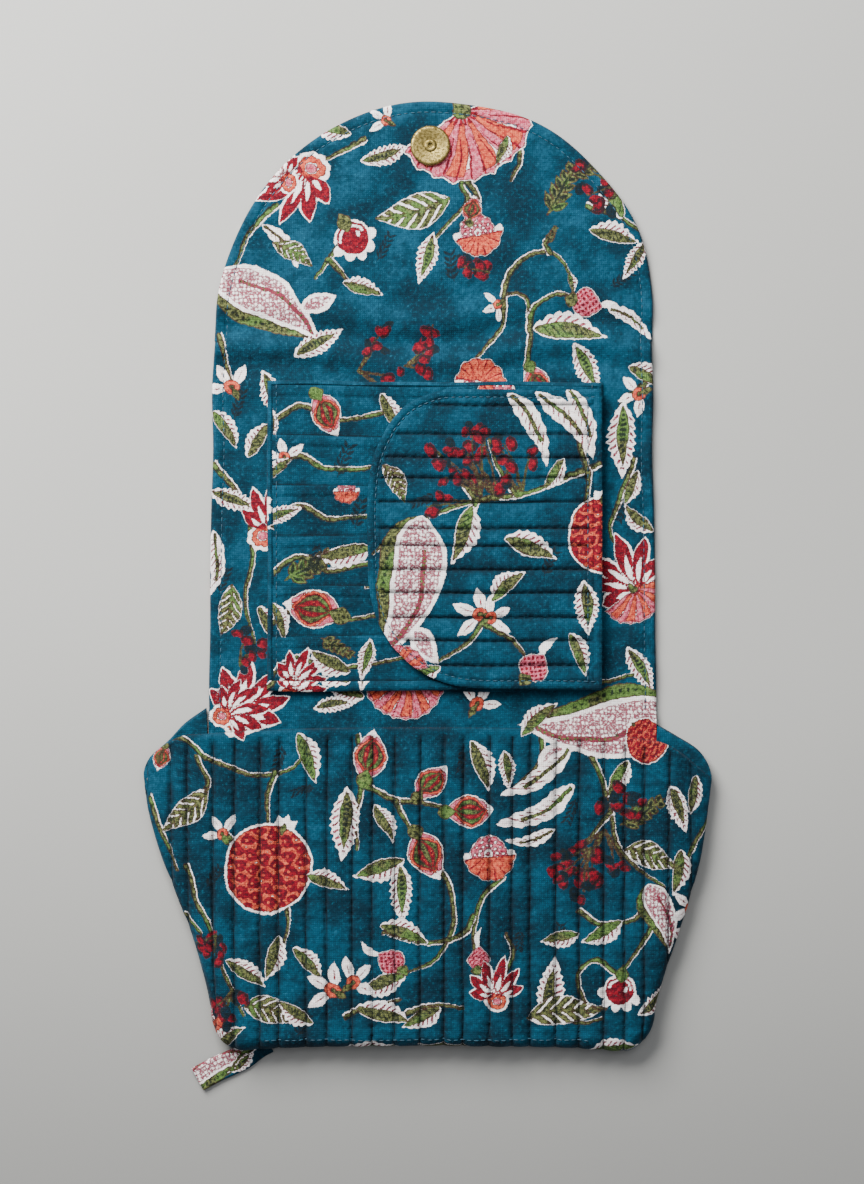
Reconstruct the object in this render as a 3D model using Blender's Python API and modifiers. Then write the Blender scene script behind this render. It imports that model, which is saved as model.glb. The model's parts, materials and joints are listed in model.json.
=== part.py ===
"""Quilted cotton wrap pouch, opened out flat on its back.

A gusseted pouch carries a long printed panel that rolls over its front and round to its back in four
square folds: spine, cover, turn strip and flap. The cover holds a stack of card slots under a side flap,
the rounded flap carries the magnetic half of a snap, and the pouch's back carries the stud half. A fabric
tab loop is sewn in at the base.

Metres, +Z up. X runs across the panel, +Y along it towards the flap's round end. The lining faces up.
Run with: blender --background --python part.py
"""

import math

import bmesh
import bpy
from mathutils import Matrix, Vector

# ---- cloth layers --------------------------------------------------------------------------------
SHELL_T = 0.0005  # printed outer cotton
WADDING_T = 0.0018
LINING_T = 0.0005
GAP = 0.0003  # clear space kept between pieces that touch on the real pouch
WALL_T = SHELL_T + GAP + WADDING_T + GAP + LINING_T
HINGE_GAP = 0.00015  # from a fold's axis to the cloth on each side of it
HINGE_Z = WALL_T + HINGE_GAP  # folds turn about the lining's upper surface

# ---- pouch ---------------------------------------------------------------------------------------
CAVITY_H = 0.005
POUCH_T = WALL_T + CAVITY_H + WALL_T
MOUTH_CLEARANCE = 0.0006
POUCH_LENGTH = 0.1433  # mouth edge to the outside of the base
BASE_DEPTH = 0.0044  # how far the base gusset stands out from the walls
MOUTH_HALF_W = 0.102
BASE_HALF_W = 0.0955
CORNER_R = 0.011
EAR_TOP_FLARE = 0.008  # how far the gusset stands out from the walls at the mouth
EAR_FLARE = 0.025  # and at its widest point
EAR_DROP = 0.0270  # mouth to the widest point of the ears
BASE_FLARE = 0.0042  # and where the sides meet the base
BAND_WADDING_T = 0.0008
BAND_GAP = 0.0006  # between its layers, wider than elsewhere because they bend round the edge
SEAM_GAP = 0.0006  # from a wall's edge to the gusset sewn to it
EAR_STEPS, SIDE_STEPS, CORNER_STEPS = 5, 6, 6

# ---- panel that wraps the pouch ------------------------------------------------------------------
PANEL_INSET = 0.0015  # from the mouth's corner to the panel's side
PANEL_W_CREASE = 0.1965
COVER_MARGIN = 0.0084  # from the insert's top edge to the turn fold
BASE_CLEARANCE = 0.0020  # from the base to the turn strip when the pouch is shut

# ---- card insert on the cover --------------------------------------------------------------------
INSERT_LEFT = -0.0738
INSERT_RIGHT = 0.0762
INSERT_START = 0.0010  # from the spine fold's axis
INSERT_T = 0.0005
SLOT_COUNT = 6
SLOT_PITCH = 0.0225
SLOT_DEPTH = 0.0420
LAST_SLOT_DEPTH = 0.0243
SLOT_T = 0.0005
SLOT_EDGE_INSET = 0.0018  # first slot's lip below the insert's top edge
SLOT_SIDE_INSET = 0.0020
HEM_H = 0.0045

# ---- side flap over the slots --------------------------------------------------------------------
SIDE_FLAP_STRAIGHT = 0.0729
SIDE_FLAP_ROUND = 0.0324
SIDE_FLAP_INSET = 0.0009  # from the insert's top and bottom edges
SIDE_FLAP_WADDING_T = 0.0008
SIDE_FLAP_CORNER_R = 0.0045

# ---- magnetic snap -------------------------------------------------------------------------------
SNAP_X = -0.0005
SNAP_FROM_TIP = 0.0203
SNAP_R = 0.0090
SOCKET_HEIGHT = 0.0020
SOCKET_WALL = 0.0005
SOCKET_HOLE_R = 0.0031
HUB_R = 0.0027
HUB_SINK = 0.0005
SHANK_R = 0.0015
SHANK_CLEARANCE = 0.0003
STUD_T = 0.0010
STUD_PIN_R = 0.0026
STUD_PIN_H = 0.0006
STUD_PIN_FLOOR = 0.0001
WASHER_R = 0.0070
WASHER_T = 0.0004
WASHER_GAP = 0.0001
DISH_CLEARANCE = 0.0012
DISH_WALL = 0.0006

# ---- tab loop at the base ------------------------------------------------------------------------
TAB_X = -0.0760
TAB_LENGTH = 0.0350
TAB_WIDTH = 0.0115
TAB_LAYER_T = 0.0007
TAB_GAP = 0.0006
TAB_TURN = math.radians(-72)  # from straight along -Y towards -X
TAB_FLOOR = 0.0002
TAB_PIVOT_GAP = 0.0006
TAB_OVER_FRONT = 0.0004

# ---- sizes that follow ---------------------------------------------------------------------------
EAR_TOP_HALF_W = MOUTH_HALF_W + EAR_TOP_FLARE
EAR_HALF_W = MOUTH_HALF_W + EAR_FLARE
SIDE_END_HALF_W = BASE_HALF_W + BASE_FLARE
PANEL_W_MOUTH = 2 * (MOUTH_HALF_W - PANEL_INSET)
DISH_R = SNAP_R + DISH_CLEARANCE
INSERT_HEIGHT = SLOT_EDGE_INSET + (SLOT_COUNT - 1) * SLOT_PITCH + LAST_SLOT_DEPTH
SIDE_FLAP_HEIGHT = INSERT_HEIGHT - 2 * SIDE_FLAP_INSET
SLOT_RISE = SLOT_T + GAP  # each lip lies over the slot behind it
SLOT_TILT = math.asin(SLOT_RISE / SLOT_PITCH)
INSERT_Z = WALL_T + GAP
SLOT_LOW_Z = INSERT_Z + INSERT_T + GAP
SLOT_TOP_Z = SLOT_LOW_Z + SLOT_DEPTH * math.sin(SLOT_TILT) + SLOT_T
SIDE_FLAP_Z = SLOT_TOP_Z + GAP
SIDE_FLAP_T = LINING_T + GAP + SIDE_FLAP_WADDING_T + GAP + SHELL_T
INSERT_STACK = SIDE_FLAP_Z + SIDE_FLAP_T - WALL_T
SPINE_LENGTH = POUCH_T + GAP + INSERT_STACK - HINGE_Z

STUD_FACE_Z = STUD_PIN_FLOOR + STUD_PIN_H
DISH_FLOOR_Z = STUD_FACE_Z + STUD_T + WASHER_GAP
FLAP_INNER_CLOSED_Z = STUD_FACE_Z - GAP - SOCKET_HEIGHT
TURN_LENGTH = HINGE_Z + SPINE_LENGTH - (FLAP_INNER_CLOSED_Z + HINGE_GAP)

FLAP_R = PANEL_W_CREASE / 2
FLAP_LENGTH = FLAP_R + HINGE_GAP
POUCH_BOTTOM = MOUTH_CLEARANCE + POUCH_LENGTH
# The cover is as long as its insert or the pouch that it wraps needs, whichever is more.
COVER_LENGTH = max(INSERT_START + INSERT_HEIGHT + COVER_MARGIN, POUCH_BOTTOM + BASE_CLEARANCE)
PANEL_TOP = SPINE_LENGTH + COVER_LENGTH + TURN_LENGTH + FLAP_LENGTH
TAB_SLANT = TAB_WIDTH * abs(math.sin(TAB_TURN))  # what the slanted ends add along Y
TAB_REACH = TAB_LENGTH * math.cos(TAB_TURN) + TAB_SLANT
PART_BOTTOM = POUCH_BOTTOM + TAB_PIVOT_GAP + TAB_REACH

SPINE_Y = (PART_BOTTOM - PANEL_TOP) / 2  # the first fold's axis; the part's box is centred on the origin
MOUTH_Y = SPINE_Y - MOUTH_CLEARANCE
BASE_Y = SPINE_Y - POUCH_BOTTOM
WALL_END_Y = BASE_Y + BASE_DEPTH
COVER_Y = SPINE_Y + SPINE_LENGTH
TURN_Y = COVER_Y + COVER_LENGTH
FLAP_Y = TURN_Y + TURN_LENGTH
TIP_Y = FLAP_Y + FLAP_LENGTH
SNAP_Y = TIP_Y - SNAP_FROM_TIP
STUD_Y = SPINE_Y - COVER_LENGTH + (SNAP_Y - FLAP_Y)
SIDE_FLAP_X = INSERT_RIGHT + GAP
SIDE_FLAP_MID_Y = COVER_Y + INSERT_START + GAP + SIDE_FLAP_HEIGHT / 2

MATERIALS = {
    "print_cotton": ((0.008, 0.115, 0.185), 0.85, 0.0),
    "lining_cotton": ((0.010, 0.135, 0.215), 0.85, 0.0),
    "wadding": ((0.85, 0.83, 0.78), 0.95, 0.0),
    "brass": ((0.55, 0.45, 0.20), 0.42, 1.0),
    "steel": ((0.55, 0.56, 0.58), 0.35, 1.0),
    "magnet": ((0.12, 0.12, 0.13), 0.6, 0.6),
}


def clear_scene():
    for obj in list(bpy.data.objects):
        bpy.data.objects.remove(obj, do_unlink=True)


def collection(name):
    made = bpy.data.collections.new(name)
    bpy.context.scene.collection.children.link(made)
    return made


def make_material(name):
    colour, roughness, metallic = MATERIALS[name]
    material = bpy.data.materials.new(name)
    material.use_nodes = True
    shader = material.node_tree.nodes["Principled BSDF"]
    shader.inputs["Base Color"].default_value = (*colour, 1.0)
    shader.inputs["Roughness"].default_value = roughness
    shader.inputs["Metallic"].default_value = metallic
    return material


def place(obj, material, group="pouch"):
    obj.data.materials.append(MADE_MATERIALS[material])
    COLLECTIONS[group].objects.link(obj)
    return obj


def add_spline(curve, points):
    spline = curve.splines.new("POLY")
    spline.points.add(len(points) - 1)
    for point, (x, y) in zip(spline.points, points):
        point.co = (x, y, 0.0, 1.0)
    spline.use_cyclic_u = True


def arc_points(centre_x, centre_y, radius_x, radius_y, start, end, steps):
    turns = [start + (end - start) * i / steps for i in range(steps + 1)]
    return [(centre_x + radius_x * math.cos(a), centre_y + radius_y * math.sin(a)) for a in turns]


def circle_points(x, y, radius, steps=48):
    return arc_points(x, y, radius, radius, 0, 2 * math.pi, steps)[:-1]


def plate(name, outline, bottom, thickness, material, holes=()):
    """A flat piece of cloth or metal: its outline extruded, with any holes left open."""
    curve = bpy.data.curves.new(name, "CURVE")
    curve.dimensions = "2D"
    curve.fill_mode = "BOTH"
    curve.extrude = thickness / 2
    for points in [outline, *holes]:
        add_spline(curve, points)
    obj = bpy.data.objects.new(name, curve)
    obj.location.z = bottom + thickness / 2
    return place(obj, material)


def as_mesh(obj):
    """A curve piece made a welded mesh, so that a Boolean can cut it."""
    bpy.context.view_layer.update()
    graph = bpy.context.evaluated_depsgraph_get()
    mesh = bpy.data.meshes.new_from_object(obj.evaluated_get(graph))
    shape = bmesh.new()
    shape.from_mesh(mesh)
    bmesh.ops.remove_doubles(shape, verts=shape.verts, dist=1e-6)
    shape.to_mesh(mesh)
    shape.free()
    name = obj.name
    made = bpy.data.objects.new(name + "_mesh", mesh)
    made.matrix_world = obj.matrix_world
    COLLECTIONS["pouch"].objects.link(made)
    bpy.data.objects.remove(obj, do_unlink=True)
    made.name = name
    return made


def cutter(name, y, radius, bottom, top, segments=48):
    """A drum on the snap's centre line, for a Boolean to add or to cut away."""
    mesh = bpy.data.meshes.new(name)
    shape = bmesh.new()
    bmesh.ops.create_cone(
        shape, cap_ends=True, segments=segments, radius1=radius, radius2=radius, depth=top - bottom
    )
    bmesh.ops.translate(shape, verts=shape.verts, vec=(SNAP_X, y, (top + bottom) / 2))
    shape.to_mesh(mesh)
    shape.free()
    obj = bpy.data.objects.new(name, mesh)
    COLLECTIONS["cutters"].objects.link(obj)
    obj.hide_render = True
    obj.display_type = "WIRE"
    return obj


def boolean(obj, other, operation):
    modifier = obj.modifiers.new(other.name, "BOOLEAN")
    modifier.operation = operation
    modifier.object = other
    modifier.solver = "EXACT"


def turned(name, x, y, profile, material, steps=48):
    """A round piece turned about a vertical axis: the profile is radius by height, down its outer side."""
    mesh = bpy.data.meshes.new(name)
    shape = bmesh.new()
    verts = [shape.verts.new((radius, 0, z)) for radius, z in profile]
    closed = profile[0][0] > 0
    for first, second in zip(verts, verts[1:] + verts[:1] if closed else verts[1:]):
        shape.edges.new((first, second))
    shape.to_mesh(mesh)
    shape.free()
    obj = bpy.data.objects.new(name, mesh)
    obj.location = (x, y, 0)
    screw = obj.modifiers.new("turn", "SCREW")
    screw.axis = "Z"
    screw.steps = steps
    screw.render_steps = steps
    screw.use_merge_vertices = True
    screw.merge_threshold = 1e-6
    screw.use_smooth_shade = False
    return place(obj, material)


# ---- outlines ------------------------------------------------------------------------------------
def panel_half_width(y):
    """The long panel narrows evenly from the spine fold to the flap fold."""
    share = (y - SPINE_Y) / (FLAP_Y - SPINE_Y)
    return (PANEL_W_MOUTH + (PANEL_W_CREASE - PANEL_W_MOUTH) * share) / 2


def strip_outline(start, end):
    """One straight length of the panel between two fold axes."""
    low, high = start + HINGE_GAP, end - HINGE_GAP
    a, b = panel_half_width(low), panel_half_width(high)
    return [(-a, low), (a, low), (b, high), (-b, high)]


def flap_outline(steps=64):
    """The flap's straight fold edge closed by a half circle."""
    return arc_points(0, TIP_Y - FLAP_R, FLAP_R, FLAP_R, 0, math.pi, steps)


def corner_arc():
    """The walls' lower right corner."""
    centre_x, centre_y = BASE_HALF_W - CORNER_R, WALL_END_Y + CORNER_R
    return arc_points(centre_x, centre_y, CORNER_R, CORNER_R, 0, -math.pi / 2, CORNER_STEPS)


def wall_outline():
    """Front and back wall: sides that close in a little towards a base with rounded corners."""
    right = [(MOUTH_HALF_W, MOUTH_Y), *corner_arc()]
    return right + [(-x, y) for x, y in reversed(right)]


def side_flap_outline():
    """Square at the stitched side, a half ellipse at the free side."""
    half = SIDE_FLAP_HEIGHT / 2
    r = SIDE_FLAP_CORNER_R
    right = SIDE_FLAP_X - HINGE_GAP - r
    start = SIDE_FLAP_X - SIDE_FLAP_STRAIGHT
    points = arc_points(right, SIDE_FLAP_MID_Y - half + r, r, r, -math.pi / 2, 0, 5)
    points += arc_points(right, SIDE_FLAP_MID_Y + half - r, r, r, 0, math.pi / 2, 5)
    points += arc_points(start, SIDE_FLAP_MID_Y, SIDE_FLAP_ROUND, half, math.pi / 2, 3 * math.pi / 2, 32)
    return points


def rectangle(left, right, low, high):
    return [(left, low), (right, low), (right, high), (left, high)]


# ---- the gusset band: left side, base and right side of the pouch --------------------------------
def outer_line():
    """The band's outer line down the right side: a flared ear, a straight side and the corner."""
    corner_x, corner_y = BASE_HALF_W - CORNER_R, WALL_END_Y + CORNER_R
    flare = EAR_HALF_W - EAR_TOP_HALF_W
    line = []
    for step in range(EAR_STEPS):
        share = step / EAR_STEPS
        line.append((EAR_TOP_HALF_W + flare * (1 - (1 - share) ** 2), MOUTH_Y - EAR_DROP * share))
    for step in range(SIDE_STEPS):
        share = step / SIDE_STEPS
        x = EAR_HALF_W + (SIDE_END_HALF_W - EAR_HALF_W) * share
        line.append((x, MOUTH_Y - EAR_DROP + (corner_y - MOUTH_Y + EAR_DROP) * share))
    radii = SIDE_END_HALF_W - corner_x, corner_y - BASE_Y
    return line + arc_points(corner_x, corner_y, *radii, 0, -math.pi / 2, CORNER_STEPS)


def inset(line, depth):
    """The line moved towards the pouch's inside by the depth of a layer."""
    moved = []
    for index, (x, y) in enumerate(line):
        before, after = line[max(index - 1, 0)], line[min(index + 1, len(line) - 1)]
        along = Vector((after[0] - before[0], after[1] - before[1])).normalized()
        moved.append((x + along.y * depth, y - along.x * depth))
    return moved


def side_lines(depth):
    """For one layer of the right side: its line on the walls' edge and its outer line, point for point."""
    outer = inset(outer_line(), depth)
    corner_y = WALL_END_Y + CORNER_R
    corner = corner_arc()
    inner = [(wall_side_x(y), max(y, corner_y)) for x, y in outer[: -len(corner)]]
    return inner + corner, outer


def wall_side_x(y):
    """How far out the walls' right edge is at this y."""
    corner_y = WALL_END_Y + CORNER_R
    share = (MOUTH_Y - max(y, corner_y)) / (MOUTH_Y - corner_y)
    return MOUTH_HALF_W + (BASE_HALF_W - MOUTH_HALF_W) * share


def band(name, inner, outer, depth, thickness, material, around=8):
    """One layer of a length of the band: a C-shaped sheet between two lines, open to the pouch's inside."""
    mesh = bpy.data.meshes.new(name)
    shape = bmesh.new()
    steps = len(inner) - 1
    bmesh.ops.create_grid(shape, x_segments=steps, y_segments=around, size=1)
    half_height = POUCH_T / 2 - depth
    for vert in shape.verts:
        index = round((vert.co.x + 1) / 2 * steps)
        angle = vert.co.y * math.pi / 2
        start = Vector(inner[index])
        out = Vector(outer[index]) - start
        reach = SEAM_GAP + (out.length - SEAM_GAP) * math.cos(angle)
        spot = start + out.normalized() * reach
        vert.co = (spot.x, spot.y, POUCH_T / 2 + half_height * math.sin(angle))
    bmesh.ops.recalc_face_normals(shape, faces=shape.faces)
    top = max(shape.faces, key=lambda face: face.calc_center_median().z)
    if top.normal.z < 0:
        bmesh.ops.reverse_faces(shape, faces=shape.faces)
    shape.to_mesh(mesh)
    shape.free()
    obj = bpy.data.objects.new(name, mesh)
    solid = obj.modifiers.new("cloth", "SOLIDIFY")
    solid.thickness = thickness
    solid.offset = -1
    solid.use_rim = True
    return place(obj, material)


# ---- the pieces ----------------------------------------------------------------------------------
def quilted_layers(prefix, outline, lining_up=True, bottom=0.0, holes=None):
    """Shell, wadding and lining of one quilted wall, the shell at the bottom unless lining_up is False."""
    holes = holes or {}
    layers = [
        ("shell", SHELL_T, "print_cotton"),
        ("wadding", WADDING_T, "wadding"),
        ("lining", LINING_T, "lining_cotton"),
    ]
    z = bottom
    made = {}
    for layer, thickness, material in layers if lining_up else reversed(layers):
        made[layer] = plate(f"{prefix}_{layer}", outline, z, thickness, material, holes.get(layer, ()))
        z += thickness + GAP
    return made


def make_back():
    """Back wall, with a dish pressed into its shell so that the snap's stud lies level with the cloth."""
    dish_outer = DISH_R + DISH_WALL
    layers = quilted_layers(
        "back", wall_outline(), holes={"wadding": [circle_points(SNAP_X, STUD_Y, dish_outer + GAP)]}
    )
    shell = as_mesh(layers["shell"])
    dish_top = DISH_FLOOR_Z + SHELL_T
    shank_hole = SHANK_R + SHANK_CLEARANCE
    boolean(shell, cutter("dish_body", STUD_Y, dish_outer, SHELL_T / 4, dish_top), "UNION")
    boolean(shell, cutter("dish_hollow", STUD_Y, DISH_R, -SHELL_T, DISH_FLOOR_Z), "DIFFERENCE")
    boolean(shell, cutter("dish_hole", STUD_Y, shank_hole, DISH_FLOOR_Z - GAP, dish_top + GAP), "DIFFERENCE")


def make_front():
    quilted_layers("front", wall_outline(), lining_up=False, bottom=WALL_T + CAVITY_H)


def make_gussets():
    """The band in three lengths, each with its own shell, wadding and lining."""
    base_half = BASE_HALF_W - CORNER_R - SEAM_GAP
    depth = 0.0
    for layer, thickness, material in (
        ("shell", SHELL_T, "print_cotton"),
        ("wadding", BAND_WADDING_T, "wadding"),
        ("lining", LINING_T, "lining_cotton"),
    ):
        inner, outer = side_lines(depth)
        left = [(-x, y) for x, y in inner], [(-x, y) for x, y in outer]
        base_edge = [(-base_half, WALL_END_Y), (base_half, WALL_END_Y)]
        base_line = [(-base_half, BASE_Y + depth), (base_half, BASE_Y + depth)]
        band(f"right_gusset_{layer}", inner, outer, depth, thickness, material)
        band(f"left_gusset_{layer}", *left, depth, thickness, material)
        band(f"base_gusset_{layer}", base_edge, base_line, depth, thickness, material)
        depth += thickness + BAND_GAP


def make_panel():
    quilted_layers("spine", strip_outline(SPINE_Y, COVER_Y))
    quilted_layers("cover", strip_outline(COVER_Y, TURN_Y))
    quilted_layers("turn", strip_outline(TURN_Y, FLAP_Y))
    quilted_layers(
        "flap",
        flap_outline(),
        holes={
            "wadding": [circle_points(SNAP_X, SNAP_Y, WASHER_R + GAP)],
            "lining": [circle_points(SNAP_X, SNAP_Y, SHANK_R + SHANK_CLEARANCE)],
        },
    )


def make_insert():
    """Backing, slots and hem of the card insert, one above the other on the cover's lining."""
    low = COVER_Y + INSERT_START
    high = low + INSERT_HEIGHT
    cloth = "lining_cotton"
    plate("insert_backing", rectangle(INSERT_LEFT, INSERT_RIGHT, low, high), INSERT_Z, INSERT_T, cloth)
    left, right = INSERT_LEFT + SLOT_SIDE_INSET, INSERT_RIGHT - SLOT_SIDE_INSET
    for number in range(SLOT_COUNT):
        lip_y = high - SLOT_EDGE_INSET - number * SLOT_PITCH
        depth = min(SLOT_DEPTH, lip_y - low - GAP)
        # Each slot lies below its lip and is tilted about it, so that the next one lies over its foot.
        slot = plate(f"card_slot_{number + 1}", rectangle(left, right, -depth, 0), 0, SLOT_T, cloth)
        slot.location = (0, lip_y, SLOT_TOP_Z - SLOT_T / 2)
        slot.rotation_euler.x = SLOT_TILT
    hem = rectangle(INSERT_LEFT, INSERT_RIGHT, low, low + HEM_H)
    plate("insert_hem", hem, SLOT_TOP_Z - SLOT_T, SLOT_T, cloth)


def make_side_flap():
    z = SIDE_FLAP_Z
    for layer, thickness, material in (
        ("lining", LINING_T, "lining_cotton"),
        ("wadding", SIDE_FLAP_WADDING_T, "wadding"),
        ("shell", SHELL_T, "print_cotton"),
    ):
        plate(f"side_flap_{layer}", side_flap_outline(), z, thickness, material)
        z += thickness + GAP


def make_socket():
    """Magnetic half of the snap: a cap over a ring magnet, riveted through the flap's lining to a washer."""
    seat = WALL_T + WASHER_GAP / 2
    top = WALL_T + SOCKET_HEIGHT
    roof = top - SOCKET_WALL
    cap_in = SNAP_R - SOCKET_WALL
    cap = [
        (SOCKET_HOLE_R, top),
        (SNAP_R, top),
        (SNAP_R, seat),
        (cap_in, seat),
        (cap_in, roof),
        (SOCKET_HOLE_R, roof),
    ]
    turned("snap_socket_cap", SNAP_X, SNAP_Y, cap, "brass")
    magnet_top = roof - WASHER_GAP
    magnet_out, magnet_in = cap_in - GAP, SOCKET_HOLE_R + GAP
    magnet = [(magnet_in, magnet_top), (magnet_out, magnet_top), (magnet_out, seat), (magnet_in, seat)]
    turned("snap_socket_magnet", SNAP_X, SNAP_Y, magnet, "magnet")
    washer_bottom = WALL_T - LINING_T - WASHER_GAP - WASHER_T
    hub_top, shank_foot = top - HUB_SINK, washer_bottom - WASHER_GAP
    rivet = [
        (0, hub_top),
        (HUB_R, hub_top),
        (HUB_R, seat),
        (SHANK_R, seat),
        (SHANK_R, shank_foot),
        (0, shank_foot),
    ]
    turned("snap_socket_rivet", SNAP_X, SNAP_Y, rivet, "brass")
    make_washer("snap_socket_washer", SNAP_Y, washer_bottom)


def make_washer(name, y, bottom):
    ring = circle_points(SNAP_X, y, WASHER_R - GAP)
    hole = circle_points(SNAP_X, y, SHANK_R + WASHER_GAP)
    plate(name, ring, bottom, WASHER_T, "steel", [hole])


def make_stud():
    """Stud half of the snap on the pouch's back: a disc with a pin that drops into the socket's hole."""
    disc_top = STUD_FACE_Z + STUD_T
    washer_bottom = DISH_FLOOR_Z + SHELL_T + WASHER_GAP
    shank_top = washer_bottom + WASHER_T
    stud = [
        (0, shank_top),
        (SHANK_R, shank_top),
        (SHANK_R, disc_top),
        (SNAP_R, disc_top),
        (SNAP_R, STUD_FACE_Z),
        (STUD_PIN_R, STUD_FACE_Z),
        (STUD_PIN_R, STUD_PIN_FLOOR),
        (0, STUD_PIN_FLOOR),
    ]
    turned("snap_stud", SNAP_X, STUD_Y, stud, "brass")
    make_washer("snap_stud_washer", STUD_Y, washer_bottom)


def make_tab():
    """A strip folded back on itself, its bend at the free end, lying on the surface beside the base."""
    layer, gap, half = TAB_LAYER_T, TAB_GAP, TAB_WIDTH / 2
    height = 2 * layer + gap
    bend_y = -TAB_LENGTH + height / 2
    section = [(0, 0)]
    section += arc_points(bend_y, height / 2, height / 2, height / 2, -math.pi / 2, -3 * math.pi / 2, 8)
    section += [(0, height), (0, height - layer)]
    section += arc_points(bend_y, height / 2, gap / 2, gap / 2, math.pi / 2, 3 * math.pi / 2, 6)
    section += [(0, layer)]
    curve = bpy.data.curves.new("tab_loop", "CURVE")
    curve.dimensions = "2D"
    curve.fill_mode = "BOTH"
    curve.extrude = half
    add_spline(curve, section)
    tab = bpy.data.objects.new("tab_loop", curve)
    # The section is drawn in X and Y, then stood up: its length runs along -Y and its height along Z.
    stand = Matrix.Rotation(math.pi / 2, 4, "Z") @ Matrix.Rotation(math.pi / 2, 4, "X")
    root = Matrix.Translation((TAB_X, BASE_Y - TAB_PIVOT_GAP - TAB_SLANT / 2, TAB_FLOOR))
    tab.matrix_world = root @ Matrix.Rotation(TAB_TURN, 4, "Z") @ stand
    place(tab, "print_cotton")


def tab_axis_z():
    """Half way between the tab on the surface and the same tab turned over onto the front wall."""
    tab_top = TAB_FLOOR + 2 * TAB_LAYER_T + TAB_GAP
    return (POUCH_T + TAB_OVER_FRONT + tab_top) / 2


# Each joint's axis: where it is, the axis that carries it, and how the names of the pieces it moves start.
AXES = {
    "axis_mouth_open": ((0, WALL_END_Y - HINGE_GAP, POUCH_T + HINGE_GAP), None, ("front_",)),
    "axis_spine_fold": ((0, SPINE_Y, HINGE_Z), None, ("spine_",)),
    "axis_cover_fold": ((0, COVER_Y, HINGE_Z), "axis_spine_fold", ("cover_", "insert_", "card_slot_")),
    "axis_side_flap": (
        (SIDE_FLAP_X, SIDE_FLAP_MID_Y, SIDE_FLAP_Z - HINGE_GAP), "axis_cover_fold", ("side_flap_",)
    ),
    "axis_turn_fold": ((0, TURN_Y, HINGE_Z), "axis_cover_fold", ("turn_",)),
    "axis_flap_fold": ((0, FLAP_Y, HINGE_Z), "axis_turn_fold", ("flap_", "snap_socket_")),
    "axis_tab_flip": ((0, BASE_Y - TAB_PIVOT_GAP / 2, tab_axis_z()), None, ("tab_",)),
}


def carry(obj, axis):
    """Parents a piece, or another axis, to an axis without moving it."""
    obj.parent = bpy.data.objects[axis]
    obj.matrix_parent_inverse = Matrix.Translation(AXES[axis][0]).inverted()


def add_axes():
    """Empties on the joints' axes. Turning one about X, or the side flap's about Y, moves its pieces."""
    pieces = list(COLLECTIONS["pouch"].objects)
    for name, (spot, parent, prefixes) in AXES.items():
        empty = bpy.data.objects.new(name, None)
        empty.location = spot
        empty.empty_display_size = 0.01
        COLLECTIONS["pouch"].objects.link(empty)
        if parent:
            carry(empty, parent)
        for piece in pieces:
            if piece.name.startswith(prefixes):
                carry(piece, name)
        print(name, [round(1000 * v, 3) for v in spot], "mm")


clear_scene()
COLLECTIONS = {"pouch": collection("wrap_pouch"), "cutters": collection("cutters")}
MADE_MATERIALS = {name: make_material(name) for name in MATERIALS}
make_back()
make_front()
make_gussets()
make_panel()
make_insert()
make_side_flap()
make_socket()
make_stud()
make_tab()
add_axes()
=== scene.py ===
# %% [markdown]
# # A quilted wrap pouch, opened flat
# The object is a soft pouch: a gusseted pocket, and a long lined panel that wraps round it and snaps
# shut. It is sewn from block-printed cotton over thin wadding. The lesson builds it cloth by cloth. Each
# piece of cloth is a dense grid of points, because a print, a quilted channel and a rolled edge are all
# just functions of where a point lies on the cloth.

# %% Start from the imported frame
import json
import math

import bpy
import numpy as np
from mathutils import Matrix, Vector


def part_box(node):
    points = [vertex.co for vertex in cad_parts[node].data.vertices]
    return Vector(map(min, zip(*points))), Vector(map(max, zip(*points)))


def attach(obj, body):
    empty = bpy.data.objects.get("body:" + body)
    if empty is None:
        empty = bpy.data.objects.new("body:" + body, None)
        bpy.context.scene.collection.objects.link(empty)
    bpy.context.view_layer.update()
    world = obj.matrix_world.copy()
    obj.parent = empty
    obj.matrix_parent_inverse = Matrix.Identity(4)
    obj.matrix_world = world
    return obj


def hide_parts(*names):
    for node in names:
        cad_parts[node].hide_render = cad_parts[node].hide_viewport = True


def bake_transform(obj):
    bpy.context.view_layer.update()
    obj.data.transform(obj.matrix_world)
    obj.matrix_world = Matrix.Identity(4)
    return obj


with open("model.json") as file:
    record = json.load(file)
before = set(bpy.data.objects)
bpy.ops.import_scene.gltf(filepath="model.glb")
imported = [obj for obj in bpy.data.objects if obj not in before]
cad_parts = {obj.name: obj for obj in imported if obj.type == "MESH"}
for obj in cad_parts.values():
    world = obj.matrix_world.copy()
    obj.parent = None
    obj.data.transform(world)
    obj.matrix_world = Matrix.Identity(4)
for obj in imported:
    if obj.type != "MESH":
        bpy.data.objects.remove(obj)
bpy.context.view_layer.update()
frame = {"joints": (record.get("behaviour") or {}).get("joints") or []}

# %% [markdown]
# The frame gives every place in metres. Cloth is easier to think about in millimetres, so the lengths
# in this file are millimetres, and make_mesh turns them into metres at the very end.

# %% Read the folds and the main sizes off the frame
MM = 0.001


def low(node):
    return np.array(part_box(node)[0]) / MM


def high(node):
    return np.array(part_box(node)[1]) / MM


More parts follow.
